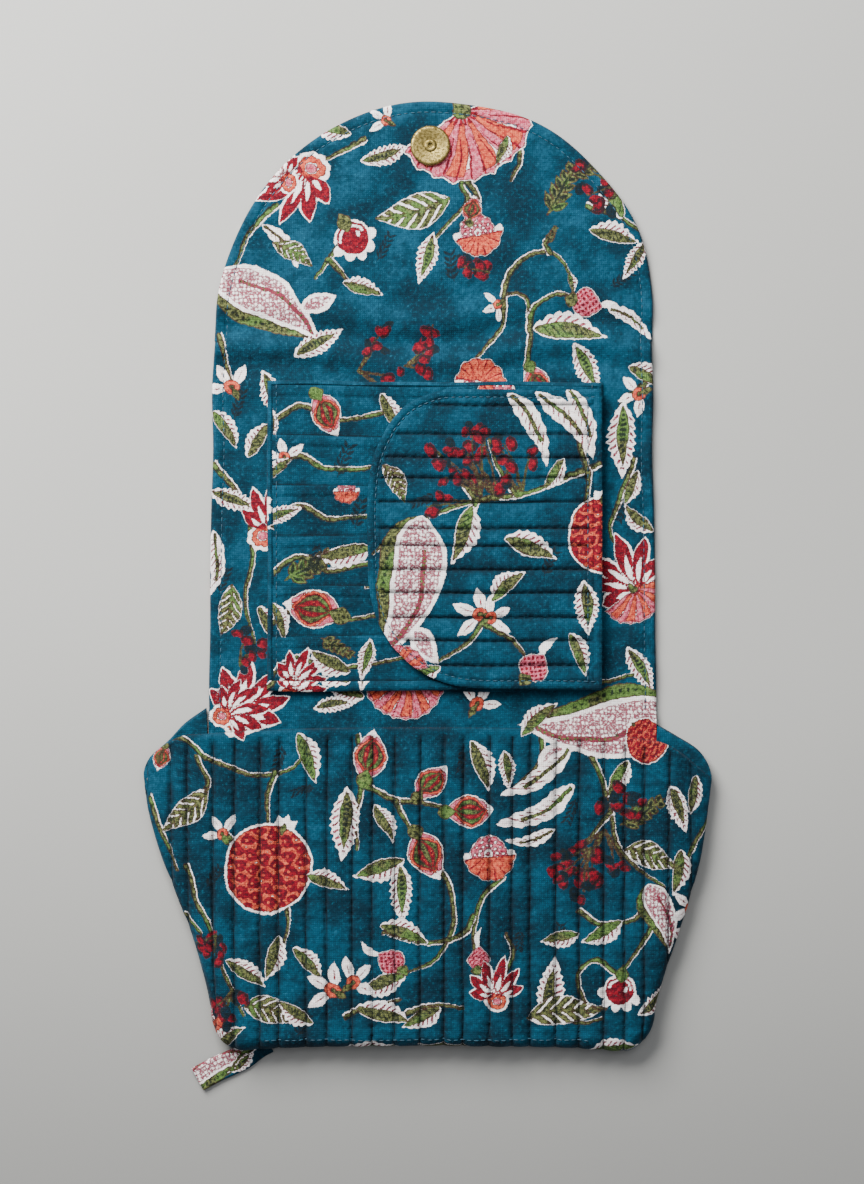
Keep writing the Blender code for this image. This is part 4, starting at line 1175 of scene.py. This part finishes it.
# %% Front of the pocket
def front_relief(x, y):
    """Channels that fade out just under the mouth, on a slightly filled pocket, and the distance for the
    thread line and painted shade.
    """
    relief, seam = quilting(x, y, FRONT_LINES, 0.95, 4)
    below_mouth = mouth_line(x) - y
    fade = smoothstep(1.5, 8, below_mouth)
    soft = 0.2 * ripple(x, y, 60, 17) + 0.12 * ripple(x, y, 15, 2) - 0.2
    seam = seam + 5 * (1 - smoothstep(1.2, 3.6, below_mouth))
    # Painted shade: the returned distance is also small along the mouth's edge, so the material paints a dark
    # line and soft shade there, where the panel goes into the pocket.
    return relief * fade + soft, np.minimum(seam, 0.2 + np.clip(below_mouth, 0, None))


def pocket_loft(x, y):
    return 0.4 * np.clip(1 - (x / 112) ** 2, 0, 1) * np.clip(1 - ((y + 132) / 72) ** 2, 0, 1)


plan = pocket_plan(mouth_line, MOUTH_HALF, 0.66)
x, y = plan[..., 0], plan[..., 1]
relief, front_seam_and_shade = front_relief(x, y)
face, back = flat_wall(plan, POUCH_TOP + relief + pocket_loft(x, y), FRONT_UNDER + 0.5 * pocket_loft(x, y))
front_wall = sew_wall(
    "pocket_front", face, back, plan, plan * (-1, 1) + (0, 250), mouth_line(x) - y,
    (front_seam_and_shade, np.full(x.shape, FAR))
)
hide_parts(*layers("front"))
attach(front_wall, "front")

# %% Back of the pocket, with a dish for the stud
STUD = (low("snap_stud") + high("snap_stud")) / 2
plan = pocket_plan(lambda x: BACK_CUT + 0 * x, float(panel_half(BACK_CUT)), 0.6)
x, y = plan[..., 0], plan[..., 1]
bottom, back_seam = shell_height(x, y, np.full(x.shape, 20.0))
dish = 1 - smoothstep(9.4, 11.0, np.hypot(x - STUD[0], y - STUD[1]))
bottom = bottom * (1 - dish) + 1.7 * dish
face, back = flat_wall(plan, WALL, bottom)
back_wall = sew_wall(
    "pocket_back", face, back, plan * (-1, 1), plan * (-1, 1), np.full(x.shape, 9.0),
    (np.full(x.shape, FAR), back_seam), coarse=True
)
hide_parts(*layers("back"))
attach(back_wall, "pouch")


# %% [markdown]
# The gusset band: for each place along the U from the left ear round the base to the right ear, the
# section is half an ellipse from the front's edge, out to the silhouette and back under to the back's
# edge. The ends at the mouth get their own curve, because the front half of an ear is folded lower than
# the back half.


# %% Lines of the gusset band
LEFT_OUT = [
    (-128.4, -76), (-129.2, -80), (-128.4, -90), (-126, -100), (-120.6, -118), (-113.8, -135), (-106.6, -154),
    (-101.6, -172), (-99, -185)
]
RIGHT_OUT = [
    (125, -80), (125.4, -84), (123.4, -100), (120.4, -118), (115.4, -136), (109.6, -154), (104.6, -169),
    (101, -181), (100.2, -186)
]
LEFT_MOUTH = [
    (-102, -60.9), (-110, -61.4), (-118, -64.8), (-125, -70.5), (-128.4, -76), (-126.6, -71.6), (-118, -64.0),
    (-111, -56.5), (-101.2, -49.5)
]
RIGHT_MOUTH = [
    (102, -64.4), (108, -67), (114, -71.2), (121, -77), (125, -80), (124.4, -75), (119.4, -68), (110, -62),
    (101.4, -57)
]


def corner_curve(sign, drop):
    side = 99.2 if sign < 0 else 100.2
    return arc((sign * CORNER_X, CORNER_Y), (side - CORNER_X, drop), 180 if sign < 0 else 360, 270)


def band_lines():
    """Inner line at the front's edge and outer line at the silhouette, point for point."""
    counts = (205, 34, 264, 34, 205)
    left_in = np.array([(-MOUTH_HALF, mouth_line(-MOUTH_HALF)), (-SIDE_LOW, CORNER_Y)])
    right_in = np.array([(SIDE_LOW, CORNER_Y), (MOUTH_HALF, mouth_line(MOUTH_HALF))])
    inner = [
        left_in, arc((-CORNER_X, CORNER_Y), (CORNER, CORNER), 180, 270),
        np.array([(-CORNER_X, CORNER_Y - CORNER), (CORNER_X, CORNER_Y - CORNER)]),
        arc((CORNER_X, CORNER_Y), (CORNER, CORNER), 270, 360), right_in,
    ]  # fmt: skip
    base = np.array([(-CORNER_X, -17.6), (-60, -16.4), (0, -15.6), (60, -16.6), (CORNER_X, -18.0)])
    base = base + (0, CORNER_Y)
    outer = [
        smooth_curve(LEFT_OUT), corner_curve(-1, 17.6), smooth_curve(base), corner_curve(1, 18.0)[::-1],
        smooth_curve(RIGHT_OUT)[::-1]
    ]
    joined = []
    for part in (inner, outer):
        pieces = [resample(line, count)[:-1] for line, count in zip(part, counts)]
        joined.append(np.concatenate(pieces + [part[-1][-1:]]))
    return joined


inner_line, outer_line = band_lines()
reach = np.linalg.norm(outer_line - inner_line, axis=1)
along_band = np.concatenate([[0], np.cumsum(np.linalg.norm(np.diff(outer_line, axis=0), axis=1))])
print("band", len(inner_line), "stations, reach", round(reach.min(), 1), "to", round(reach.max(), 1), "mm")


# %% Surfaces of the gusset band
def soften(values, width=9):
    kernel = np.hanning(width + 2)[1:-1]
    padded = np.pad(values, ((width // 2, width // 2), (0, 0)), mode="edge")
    kernel = kernel / kernel.sum()
    return np.stack([np.convolve(padded[:, k], kernel, "valid") for k in range(values.shape[1])], axis=1)


def band_surface(inset):
    """Points of the band, inset from its outside; rows go from the back's edge round to the front's edge."""
    step = np.linspace(1, 0, 83)[:, None]
    angle = math.pi * step - 0.27 * np.sin(math.tau * step)
    half = POUCH_TOP / 2 - inset
    way = (outer_line - inner_line) / reach[:, None]
    out = np.sin(angle)[..., None] * (way * np.maximum(reach - inset, 0.6)[:, None])[None]
    points = inner_line[None] + out
    share = angle / math.pi
    for end, curve in ((0, LEFT_MOUTH), (-1, RIGHT_MOUTH)):
        line = smooth_curve(curve)
        at = np.linspace(0, 1, len(line))
        wanted = np.stack([np.interp(share[:, 0], at, line[:, k]) for k in (0, 1)], axis=1)
        distance = along_band if end == 0 else along_band[-1] - along_band
        fade = 1 - smoothstep(0, 34, distance)
        off = wanted - points[:, end]
        points = points + off[:, None] * fade[None, :, None]
    puff = 1.6 * np.exp(-(((np.minimum(along_band, along_band[-1] - along_band) - 18) / 26) ** 2))
    height = POUCH_TOP / 2 + (half + puff[None] * np.sin(angle) ** 2) * np.cos(angle)
    return np.concatenate([points, height[..., None] + 0 * points[..., :1]], axis=-1), angle


def outward(points):
    """Unit normals of a grid of points."""
    across, up = np.gradient(points, axis=1), np.gradient(points, axis=0)
    normal = np.cross(across, up)
    return normal / np.linalg.norm(normal, axis=-1, keepdims=True)


outside, angle = band_surface(0.0)
inside, _ = band_surface(WALL)
lengths = np.linalg.norm(np.diff(outside[::-1], axis=0), axis=-1)
wrapped = np.concatenate([np.zeros((1, len(reach))), np.cumsum(lengths, axis=0)])[::-1]
way = soften((outer_line - inner_line) / reach[:, None])
band_cloth = inner_line[None] + way[None] * wrapped[..., None]
x, y = outside[..., 0], outside[..., 1]
relief, band_seam_and_shade = front_relief(x, y)
flatten = 0.25 + 0.75 * np.abs(np.cos(angle)) ** 0.7
loft = pocket_loft(x, y) * (1 + np.cos(angle)) / 2
outside = outside + outward(outside) * (relief * flatten)[..., None] + loft[..., None] * (0, 0, 1)
mouth_gap = np.minimum(along_band, along_band[-1] - along_band)[None] + 0 * x
band = sew_wall(
    "pocket_gusset", outside, inside, band_cloth, inside[..., :2] * (-1, 1) + (0, 250), mouth_gap,
    (band_seam_and_shade, np.full(x.shape, FAR))
)
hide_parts(*layers("left_gusset"), *layers("right_gusset"), *layers("base_gusset"))
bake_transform(band)

# %% [markdown]
# ## The card insert
# A lined backing is sewn on the panel, and six slots are laid over it like shingles: each is a folded
# strip whose top lip stands free and whose lower part goes under the next one. All of them are single
# sheets of cloth.


# %% Backing
def sheet_piece(name, face, back, cloth, gap, shade=None):
    face, back = turn_edge(face, back, gap, 0.5)
    piece, cloth = make_mesh(name, face, back[::2, ::2], cloth, cloth[::2, ::2], PRINT)
    print_cloth(piece, cloth)
    # shade, when given, is the distance to a painted shadow line on the face; it is stored with the seam
    # distances, and the material darkens the colour along it.
    seam = np.full(len(cloth), FAR)
    if shade is not None:
        seam[: shade.size] = shade.ravel()
    store_seam_and_shade(piece, seam)
    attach(piece, "cover")
    return piece


def rectangle_plan(left, right, low_y, high_y, spacing):
    x = np.linspace(left, right, odd(right - left, spacing))[None]
    y = np.linspace(low_y, high_y, odd(high_y - low_y, spacing))[:, None]
    gap = np.minimum(np.minimum(x - left, right - x), np.minimum(y - low_y, high_y - y))
    return np.stack([x + 0 * y, y + 0 * x], axis=-1), gap


plan, gap = rectangle_plan(INSERT_LOW[0], INSERT_HIGH[0], INSERT_LOW[1], INSERT_HIGH[1], 0.8)
x, y = plan[..., 0], plan[..., 1]
plan = plan + 0.45 * np.stack([ripple(x, y, 70, 41), ripple(x, y, 64, 42)], axis=-1)
rolled = 1.5 * np.exp(-(((gap - 1.5) / 1.2) ** 2))
face, back = flat_wall(plan, INSERT_HIGH[2] + 0.1 + rolled, INSERT_LOW[2] + 0.1 + 0.5 * rolled)
backing = sheet_piece(
    "card_insert_backing", face, back, plan + (2 * SLOT_X, 0), gap
)
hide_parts("insert_backing")


# %% Card slots
def slot_height(below_lip, edge):
    """Down from the free lip to the part under the next slot, and held down at both ends."""
    rise = 1.6 * smoothstep(-25, -1.5, -below_lip)
    hem = 0.3 * (1 - smoothstep(3.6, 5.0, below_lip)) - 0.25 * np.exp(-(((below_lip - 5.0) / 0.6) ** 2))
    return 4.75 + (rise + hem) * (0.35 + 0.65 * smoothstep(0, 7, edge))


for index in range(6):
    node = f"card_slot_{index + 1}"
    corner, far = low(node), high(node)
    plan, gap = rectangle_plan(corner[0], far[0], far[1] - min(27.0, far[1] - corner[1]), far[1], 0.66)
    x, y = plan[..., 0], plan[..., 1]
    edge = np.minimum(x - corner[0], far[0] - x)
    bow = 0.5 * ripple(x, 0 * y, 90, 60 + index) - 0.5 * (1 - ((x - 1) / 74) ** 2)
    top = slot_height(far[1] - y, edge) + 0.1 * ripple(x, y, 26, 70 + index)
    face, back = flat_wall(plan + bow[..., None] * (0, 1), top, top - 0.5)
    cut = plan + (SLOT_X - SLOT_STEP * index, 0)
    # Painted shadow: shade is the distance to where the next slot's lip lies over this one, 22.5 mm below the
    # lip, or to the hem's top for the last slot; the material paints a dark line there.
    shade = np.where(index < 5, np.abs(y - far[1] + 22.5 - 0.4), np.abs(y - far[1] + 19.9))
    name = f"folded_card_slot_{index + 1}"
    slot_piece = sheet_piece(name, face, back, cut, gap, shade)
    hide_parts(node)

# %% Hem along the insert's lower edge
corner, far = low("insert_hem"), high("insert_hem")
plan, gap = rectangle_plan(corner[0], far[0], corner[1], far[1], 0.75)
x, y = plan[..., 0], plan[..., 1]
top = far[2] + 0.35 - 0.5 * ((y - corner[1] - 2.2) / 2.2) ** 2 + 0.1 * ripple(x, y, 20, 77)
face, back = flat_wall(plan + (0.35 * ripple(x, y, 60, 43))[..., None] * (0, 1), top, top - 0.7)
hem = sheet_piece(
    "card_insert_hem", face, back, plan + (SLOT_X - 1000, 4), gap,
)
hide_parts("insert_hem")

# %% [markdown]
# ## The side flap
# A quilted flap closes over the cards. It is straight where it is sewn to the insert and round at its
# free side, and its channels run across it.


# %% Outline and grid of the side flap
HINGE_X = 70  # the side flap is sewn down along this line
SIDE_LOW_CORNER, SIDE_HIGH_CORNER = low("side_flap_lining"), high("side_flap_lining")
SIDE_TOP, SIDE_UNDER = high("side_flap_shell")[2], low("side_flap_lining")[2]
left_x, low_y = SIDE_LOW_CORNER[:2]
right_x, high_y = SIDE_HIGH_CORNER[:2] - (0, 2.0)
upper = smooth_curve(
    [
        (left_x + 9, high_y - 16.5), (left_x + 17, high_y - 7.6), (left_x + 28, high_y - 2.2),
        (left_x + 41, high_y - 0.2), (right_x - 20, high_y - 0.6), (right_x, high_y)
    ]
)
left = smooth_curve(
    [
        (left_x + 11, low_y + 19.5), (left_x + 4, low_y + 32), (left_x + 0.8, low_y + 46), (left_x + 0.2, 20),
        (left_x, 44), (left_x + 2.6, high_y - 31), (left_x + 9, high_y - 16.5)
    ]
)
lower = smooth_curve(
    [
        (left_x + 11, low_y + 19.5), (left_x + 21, low_y + 10), (left_x + 34, low_y + 3.4),
        (left_x + 50, low_y + 0.6), (right_x - 20, low_y + 0.4), (right_x, low_y)
    ]
)
columns, rows = odd(100, 0.62), odd(high_y - low_y, 0.62)
right = np.array([(right_x, low_y), (right_x, high_y)])
plan = coons(resample(lower, columns), resample(upper, columns), resample(left, rows), resample(right, rows))
gap, _, _ = nearest_on(plan, np.concatenate([lower[::-1], left, upper, right[::-1]]))
x, y = plan[..., 0], plan[..., 1]
relief, side_seam = quilting(y, x, FLAP_LINES, 0.6, 9)
inside_edge = smoothstep(3.0, 6.5, gap)
hinge_seam = 0.45 * np.exp(-(((x - HINGE_X) / 0.8) ** 2)) * inside_edge
sewn = -0.55 * np.exp(-(((gap - 3.6) / 0.7) ** 2)) - hinge_seam
top = SIDE_TOP - 0.2 + relief * inside_edge + sewn + 0.15 * ripple(x, y, 48, 19)
face, back = flat_wall(plan, top, SIDE_UNDER + 0.1 * relief)
no_seam = np.full(x.shape, FAR)
side_flap = sew_wall(
    "quilted_side_flap", face, back, plan + (FLAP_X, 0), plan * (-1, 1) + (20, -150), gap,
    (side_seam + 4 * (1 - inside_edge), no_seam)
)
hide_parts(*layers("side_flap"))
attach(side_flap, "side_flap")


# %% [markdown]
# ## Snap
# The magnetic snap's socket is a thin brass cup with a rolled rim, a hub round its hole, and a cast,
# mottled surface. A turned part is a profile spun round its axis, so only the profile has to be right. The
# flat stud under the pocket is made the same way, from its own profile.


# %% Turned metal
def turn_profile(name, profile, centre, material, body, count=120):
    """A closed solid from a profile of (radius, height) that runs from the axis to the axis."""
    profile = np.array(profile, float)
    angle = np.linspace(0, math.tau, count, endpoint=False)
    rings = profile[1:-1]
    around = np.outer(rings[:, 0], np.cos(angle)), np.outer(rings[:, 0], np.sin(angle))
    points = np.stack([*around, np.repeat(rings[:, 1:2], count, 1)], axis=-1)
    ends = np.array([[0, 0, profile[0, 1]], [0, 0, profile[-1, 1]]])
    verts = np.concatenate([points.reshape(-1, 3), ends]) + (centre[0], centre[1], 0)
    faces = []
    for ring in range(len(rings) - 1):
        for k in range(count):
            a, b = ring * count + k, ring * count + (k + 1) % count
            faces.append((a, b, b + count, a + count))
    last = (len(rings) - 1) * count
    top, bottom = len(verts) - 2, len(verts) - 1
    faces += [(top, (k + 1) % count, k) for k in range(count)]
    faces += [(bottom, last + k, last + (k + 1) % count) for k in range(count)]
    mesh = bpy.data.meshes.new(name)
    mesh.from_pydata((verts * MM).tolist(), [], [face[::-1] for face in faces])
    mesh.shade_smooth()
    mesh.set_sharp_from_angle(angle=math.radians(50))
    mesh.materials.append(material)
    piece = bpy.data.objects.new(name, mesh)
    bpy.context.scene.collection.objects.link(piece)
    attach(piece, body)
    return piece


cap_low, cap_high = low("snap_socket_cap"), high("snap_socket_cap")
cap_r = (cap_high[0] - cap_low[0]) / 2
z0, z1 = cap_low[2], cap_high[2] - 0.27  # leaves the stud room when the pouch is shut
socket_profile = [
    (0, z1 - 1.1), (0.9, z1 - 1.1), (1.15, z1 - 0.2), (1.6, z1 - 0.02), (2.2, z1 - 0.06), (2.7, z1 - 0.3),
    (2.9, z1 - 0.6), (3.3, z1 - 0.5),
    (6.6, z1 - 0.25), (7.4, z1 - 0.1), (8.0, z1 - 0.05), (8.5, z1 - 0.25), (8.85, z1 - 0.6),
    (cap_r, z1 - 1.1), (cap_r, z0 + 0.3), (cap_r - 0.3, z0), (0.5, z0), (0, z0),
]  # fmt: skip
cap = turn_profile("snap_socket_cup", socket_profile, ((cap_low + cap_high) / 2)[:2], BRASS, "flap")
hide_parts("snap_socket_cap", "snap_socket_magnet", "snap_socket_rivet", "snap_socket_washer")
stud_low, stud_high = low("snap_stud"), high("snap_stud")
stud_r = (stud_high[0] - stud_low[0]) / 2
stud_profile = [
    (0, 1.7), (stud_r - 0.3, 1.7), (stud_r, 1.4), (stud_r, 0.6), (stud_r - 0.6, 0.15), (6.5, 0.3),
    (3.0, 0.35), (2.5, 0.2), (1.6, 0.14), (0, 0.16)
]
stud = turn_profile("snap_stud_disc", stud_profile, STUD[:2], BRASS, "pouch")
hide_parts("snap_stud", "snap_stud_washer")
print("socket", round(2 * cap_r, 1), "mm across, stud", round(2 * stud_r, 1), "mm across")

# %% [markdown]
# ## Tab
# The loop of folded cloth at the left corner is a ribbon: wide and flat at its end, pinched and turned a
# little where it goes into the seam.

# %% Folded tab
spine = smooth_curve([(-72.6, -201.2), (-80, -204.6), (-88, -208.2), (-97, -212.2), (-105.2, -216.6)])
spine = resample(spine, 61)
heading = np.gradient(spine, axis=0)
heading /= np.linalg.norm(heading, axis=1, keepdims=True)
side_way = np.stack([-heading[:, 1], heading[:, 0]], axis=1)
length = np.linspace(0, np.linalg.norm(np.diff(spine, axis=0), axis=1).sum(), 61)
width = 5.7 * (0.62 + 0.38 * smoothstep(2, 15, length))
across = np.linspace(-1, 1, 21)
plan = spine[None] - (across[:, None, None] * width[None, :, None]) * side_way[None]
plan = plan[::-1]
twist = np.interp(length, [0, 9, 20, 36], [1.7, 1.4, 0.4, 0.0])
lift = 1.2 + 0.5 * np.exp(-(((length - 8) / 7) ** 2))
middle = lift[None] + twist[None] * across[::-1][:, None] * 0.75
gap = np.minimum(width[None] * (1 - np.abs(across[:, None])), (length[-1] - length)[None] + 0.2)
crease = 0.25 * np.exp(-((across[:, None] - 0.7) / 0.12) ** 2) + 0 * plan[..., 0]
face, back = flat_wall(plan, middle + 0.7 - crease, middle - 0.8)
back[..., 2] = np.maximum(back[..., 2], 0.05)
tab_cloth = np.stack(
    [0 * plan[..., 0] + length[None] + 152, across[:, None] * 5.7 + 0 * plan[..., 0] + 160], axis=-1
)
face, back = turn_edge(face, back, gap, 0.9)
tab, tab_points = make_mesh(
    "folded_tab", face[:, ::-1], back[:, ::-1], tab_cloth[:, ::-1], tab_cloth[:, ::-1] + (60, 0), PRINT, 60
)
print_cloth(tab, tab_points)
store_seam_and_shade(tab, np.full(len(tab_points), FAR))
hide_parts("tab_loop")
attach(tab, "tab")
print("tab", round(length[-1], 1), "mm long, faces", len(tab.data.polygons))

# %% [markdown]
# ## Topstitching
# A line of stitches holds every turned edge. Each stitch is the same small capsule of thread, repeated
# along a line that lies on the cloth, which is a job for Geometry Nodes: the line becomes a curve, points
# are set along it at the stitch pitch, and a capsule is put on each. One tree serves all the lines.


# %% Node tree for a stitch line
def make_stitch_tree():
    tree = bpy.data.node_groups.new("topstitch", "GeometryNodeTree")
    tree.is_modifier = True
    face = tree.interface
    face.new_socket("Line", in_out="INPUT", socket_type="NodeSocketGeometry")
    face.new_socket("Stitches", in_out="OUTPUT", socket_type="NodeSocketGeometry")
    sockets = {}
    for name, kind in (
        ("Pitch", "Float"), ("Stitch length", "Float"), ("Thread radius", "Float"), ("Unevenness", "Float"),
        ("Seed", "Int"), ("Thread", "Material")
    ):
        sockets[name] = face.new_socket(name, in_out="INPUT", socket_type=f"NodeSocket{kind}").identifier
    values = tree.nodes.new("NodeGroupInput").outputs
    curve = add_node(tree, "GeometryNodeMeshToCurve", {"Mesh": values["Line"]})
    points = add_node(
        tree, "GeometryNodeCurveToPoints", {"Curve": curve.outputs[0], "Length": values["Pitch"]},
        mode="LENGTH"
    )
    capsule = add_node(tree, "GeometryNodeMeshUVSphere", {"Segments": 6, "Rings": 5, "Radius": 1.0})
    half = add_node(tree, "ShaderNodeMath", {0: values["Stitch length"], 1: 0.5}, operation="MULTIPLY")
    size = add_node(
        tree, "ShaderNodeCombineXYZ",
        {0: values["Thread radius"], 1: values["Thread radius"], 2: half.outputs[0]}
    )
    shaped = add_node(
        tree, "GeometryNodeTransform", {"Geometry": capsule.outputs[0], "Scale": size.outputs[0]}
    )
    lowest = add_node(tree, "ShaderNodeMath", {0: 1.0, 1: values["Unevenness"]}, operation="SUBTRACT")
    vary = add_node(
        tree, "FunctionNodeRandomValue", {2: lowest.outputs[0], 3: 1.0, 8: values["Seed"]}, data_type="FLOAT"
    )
    placed = add_node(
        tree, "GeometryNodeInstanceOnPoints",
        {
            "Points": points.outputs["Points"], "Instance": shaped.outputs[0],
            "Rotation": points.outputs["Rotation"], "Scale": vary.outputs[1]
        },
    )  # fmt: skip
    real = add_node(tree, "GeometryNodeRealizeInstances", {"Geometry": placed.outputs[0]})
    done = add_node(
        tree, "GeometryNodeSetMaterial", {"Geometry": real.outputs[0], "Material": values["Thread"]}
    )
    tree.links.new(done.outputs[0], tree.nodes.new("NodeGroupOutput").inputs[0])
    return tree, sockets


STITCH_TREE, STITCH_SOCKETS = make_stitch_tree()
print("stitch inputs:", ", ".join(STITCH_SOCKETS))


# %% Sew lines of stitches
INSET = 5  # the panel's topstitching runs this far inside its edge


def sew_stitches(name, lines, bodies, joint=None, pitch=3.1):
    """Stitches along lines of points, as one mesh that moves with one body, or stays in place when a joint is
    given.
    """
    verts, edges = [], []
    for line in lines:
        edges += [(len(verts) + k, len(verts) + k + 1) for k in range(len(line) - 1)]
        verts += (np.asarray(line) * MM).tolist()
    mesh = bpy.data.meshes.new(name)
    mesh.from_pydata(verts, edges, [])
    guide = bpy.data.objects.new(name + "_guide", mesh)
    bpy.context.scene.collection.objects.link(guide)
    modifier = guide.modifiers.new("topstitch", "NODES")
    modifier.node_group = STITCH_TREE
    sizes = {
        "Pitch": pitch * MM, "Stitch length": 2.5 * MM, "Thread radius": 0.27 * MM, "Unevenness": 0.16,
        "Seed": 5, "Thread": THREAD
    }
    for socket, value in sizes.items():
        modifier[STITCH_SOCKETS[socket]] = value
    graph = bpy.context.evaluated_depsgraph_get()
    made = bpy.data.meshes.new_from_object(guide.evaluated_get(graph))
    bpy.data.objects.remove(guide)
    stitches = bpy.data.objects.new(name, made)
    bpy.context.scene.collection.objects.link(stitches)
    made.shade_smooth()
    if joint is None:
        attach(stitches, bodies)
    else:
        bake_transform(stitches)
    print(name, len(made.polygons), "faces")


def side_lines(first, last):
    """The two topstitch lines of the panel, just inside its sides."""
    y = np.arange(first + 0.5, last, 1.0)
    lines = []
    for sign in (-1, 1):
        x = panel_lean(y) + sign * (panel_half(y) + 0.3 * ripple(0 * y, y, 55, 8) - INSET)
        lines.append(np.stack([x, y, lining_height(x, y, INSET + 0 * y) + 0.12], axis=1))
    return lines


sew_stitches("panel_spine_stitches", side_lines(SPINE_CUT, COVER_CUT), ("spine", "cover"), COVER_Y)
sew_stitches("panel_cover_stitches", side_lines(COVER_CUT, TURN_CUT), ("cover", "turn"), TURN_Y)
turn = np.radians(np.linspace(0, 180, 240))
x, y = (FLAP_R - INSET) * np.cos(turn), FLAP_Y + (TIP_Y - FLAP_Y - INSET) * np.sin(turn)
push = 0.45 * ripple(x, y, 60, 14) * smoothstep(80, 98, np.hypot(x, y - FLAP_Y))
push = push * smoothstep(FLAP_Y, FLAP_Y + 20, y)
x, y = x + push * x / FLAP_R + panel_lean(y), y + push * (y - FLAP_Y) / FLAP_R
round_line = np.stack([x, y, lining_height(x, y, INSET + 0 * x) + 0.12], axis=1)
left_part, right_part = side_lines(TURN_CUT, FLAP_Y)
whole = np.concatenate([right_part, round_line, left_part[::-1]])
sew_stitches("panel_flap_stitches", [whole], ("turn", "flap"), FLAP_Y)

# %% Stitches of the pocket, the side flap and the insert
columns = np.flatnonzero((along_band > 150) & (along_band < along_band[-1] - 150))
rows = [int(np.abs(wrapped[:, k] - 1.6).argmin()) for k in columns]
base_line = outside[rows, columns] + (0, 0, 0.1)
sew_stitches("pocket_base_stitches", [base_line[::3]], "front")
edge = resample(np.concatenate([lower[::-1], left, upper]), 300)
heading = np.gradient(edge, axis=0)
heading /= np.linalg.norm(heading, axis=1, keepdims=True)
inset = edge + 3.6 * np.stack([heading[:, 1], -heading[:, 0]], axis=1)
inset = inset[inset[:, 0] < right_x - 3]
flap_line = np.concatenate([inset, np.full((len(inset), 1), SIDE_TOP - 0.5)], axis=1)
hinge_y = np.arange(low_y + 5, high_y - 4, 1.0)
hinge_line = np.stack([0 * hinge_y + HINGE_X, hinge_y, 0 * hinge_y + SIDE_TOP - 0.5], axis=1)
sew_stitches("side_flap_stitches", [flap_line, hinge_line], "side_flap")
lines = []
for index in range(6):
    corner, far = low(f"card_slot_{index + 1}"), high(f"card_slot_{index + 1}")
    below = np.arange(0.8, min(22.4, far[1] - corner[1]), 0.8)
    for x, edge in ((corner[0] + 2.2, 2.2), (far[0] - 2.2, 2.2)):
        lines.append(np.stack([x + 0 * below, far[1] - below, slot_height(below, edge) + 0.12], axis=1))
sew_stitches("card_insert_stitches", lines, "cover")
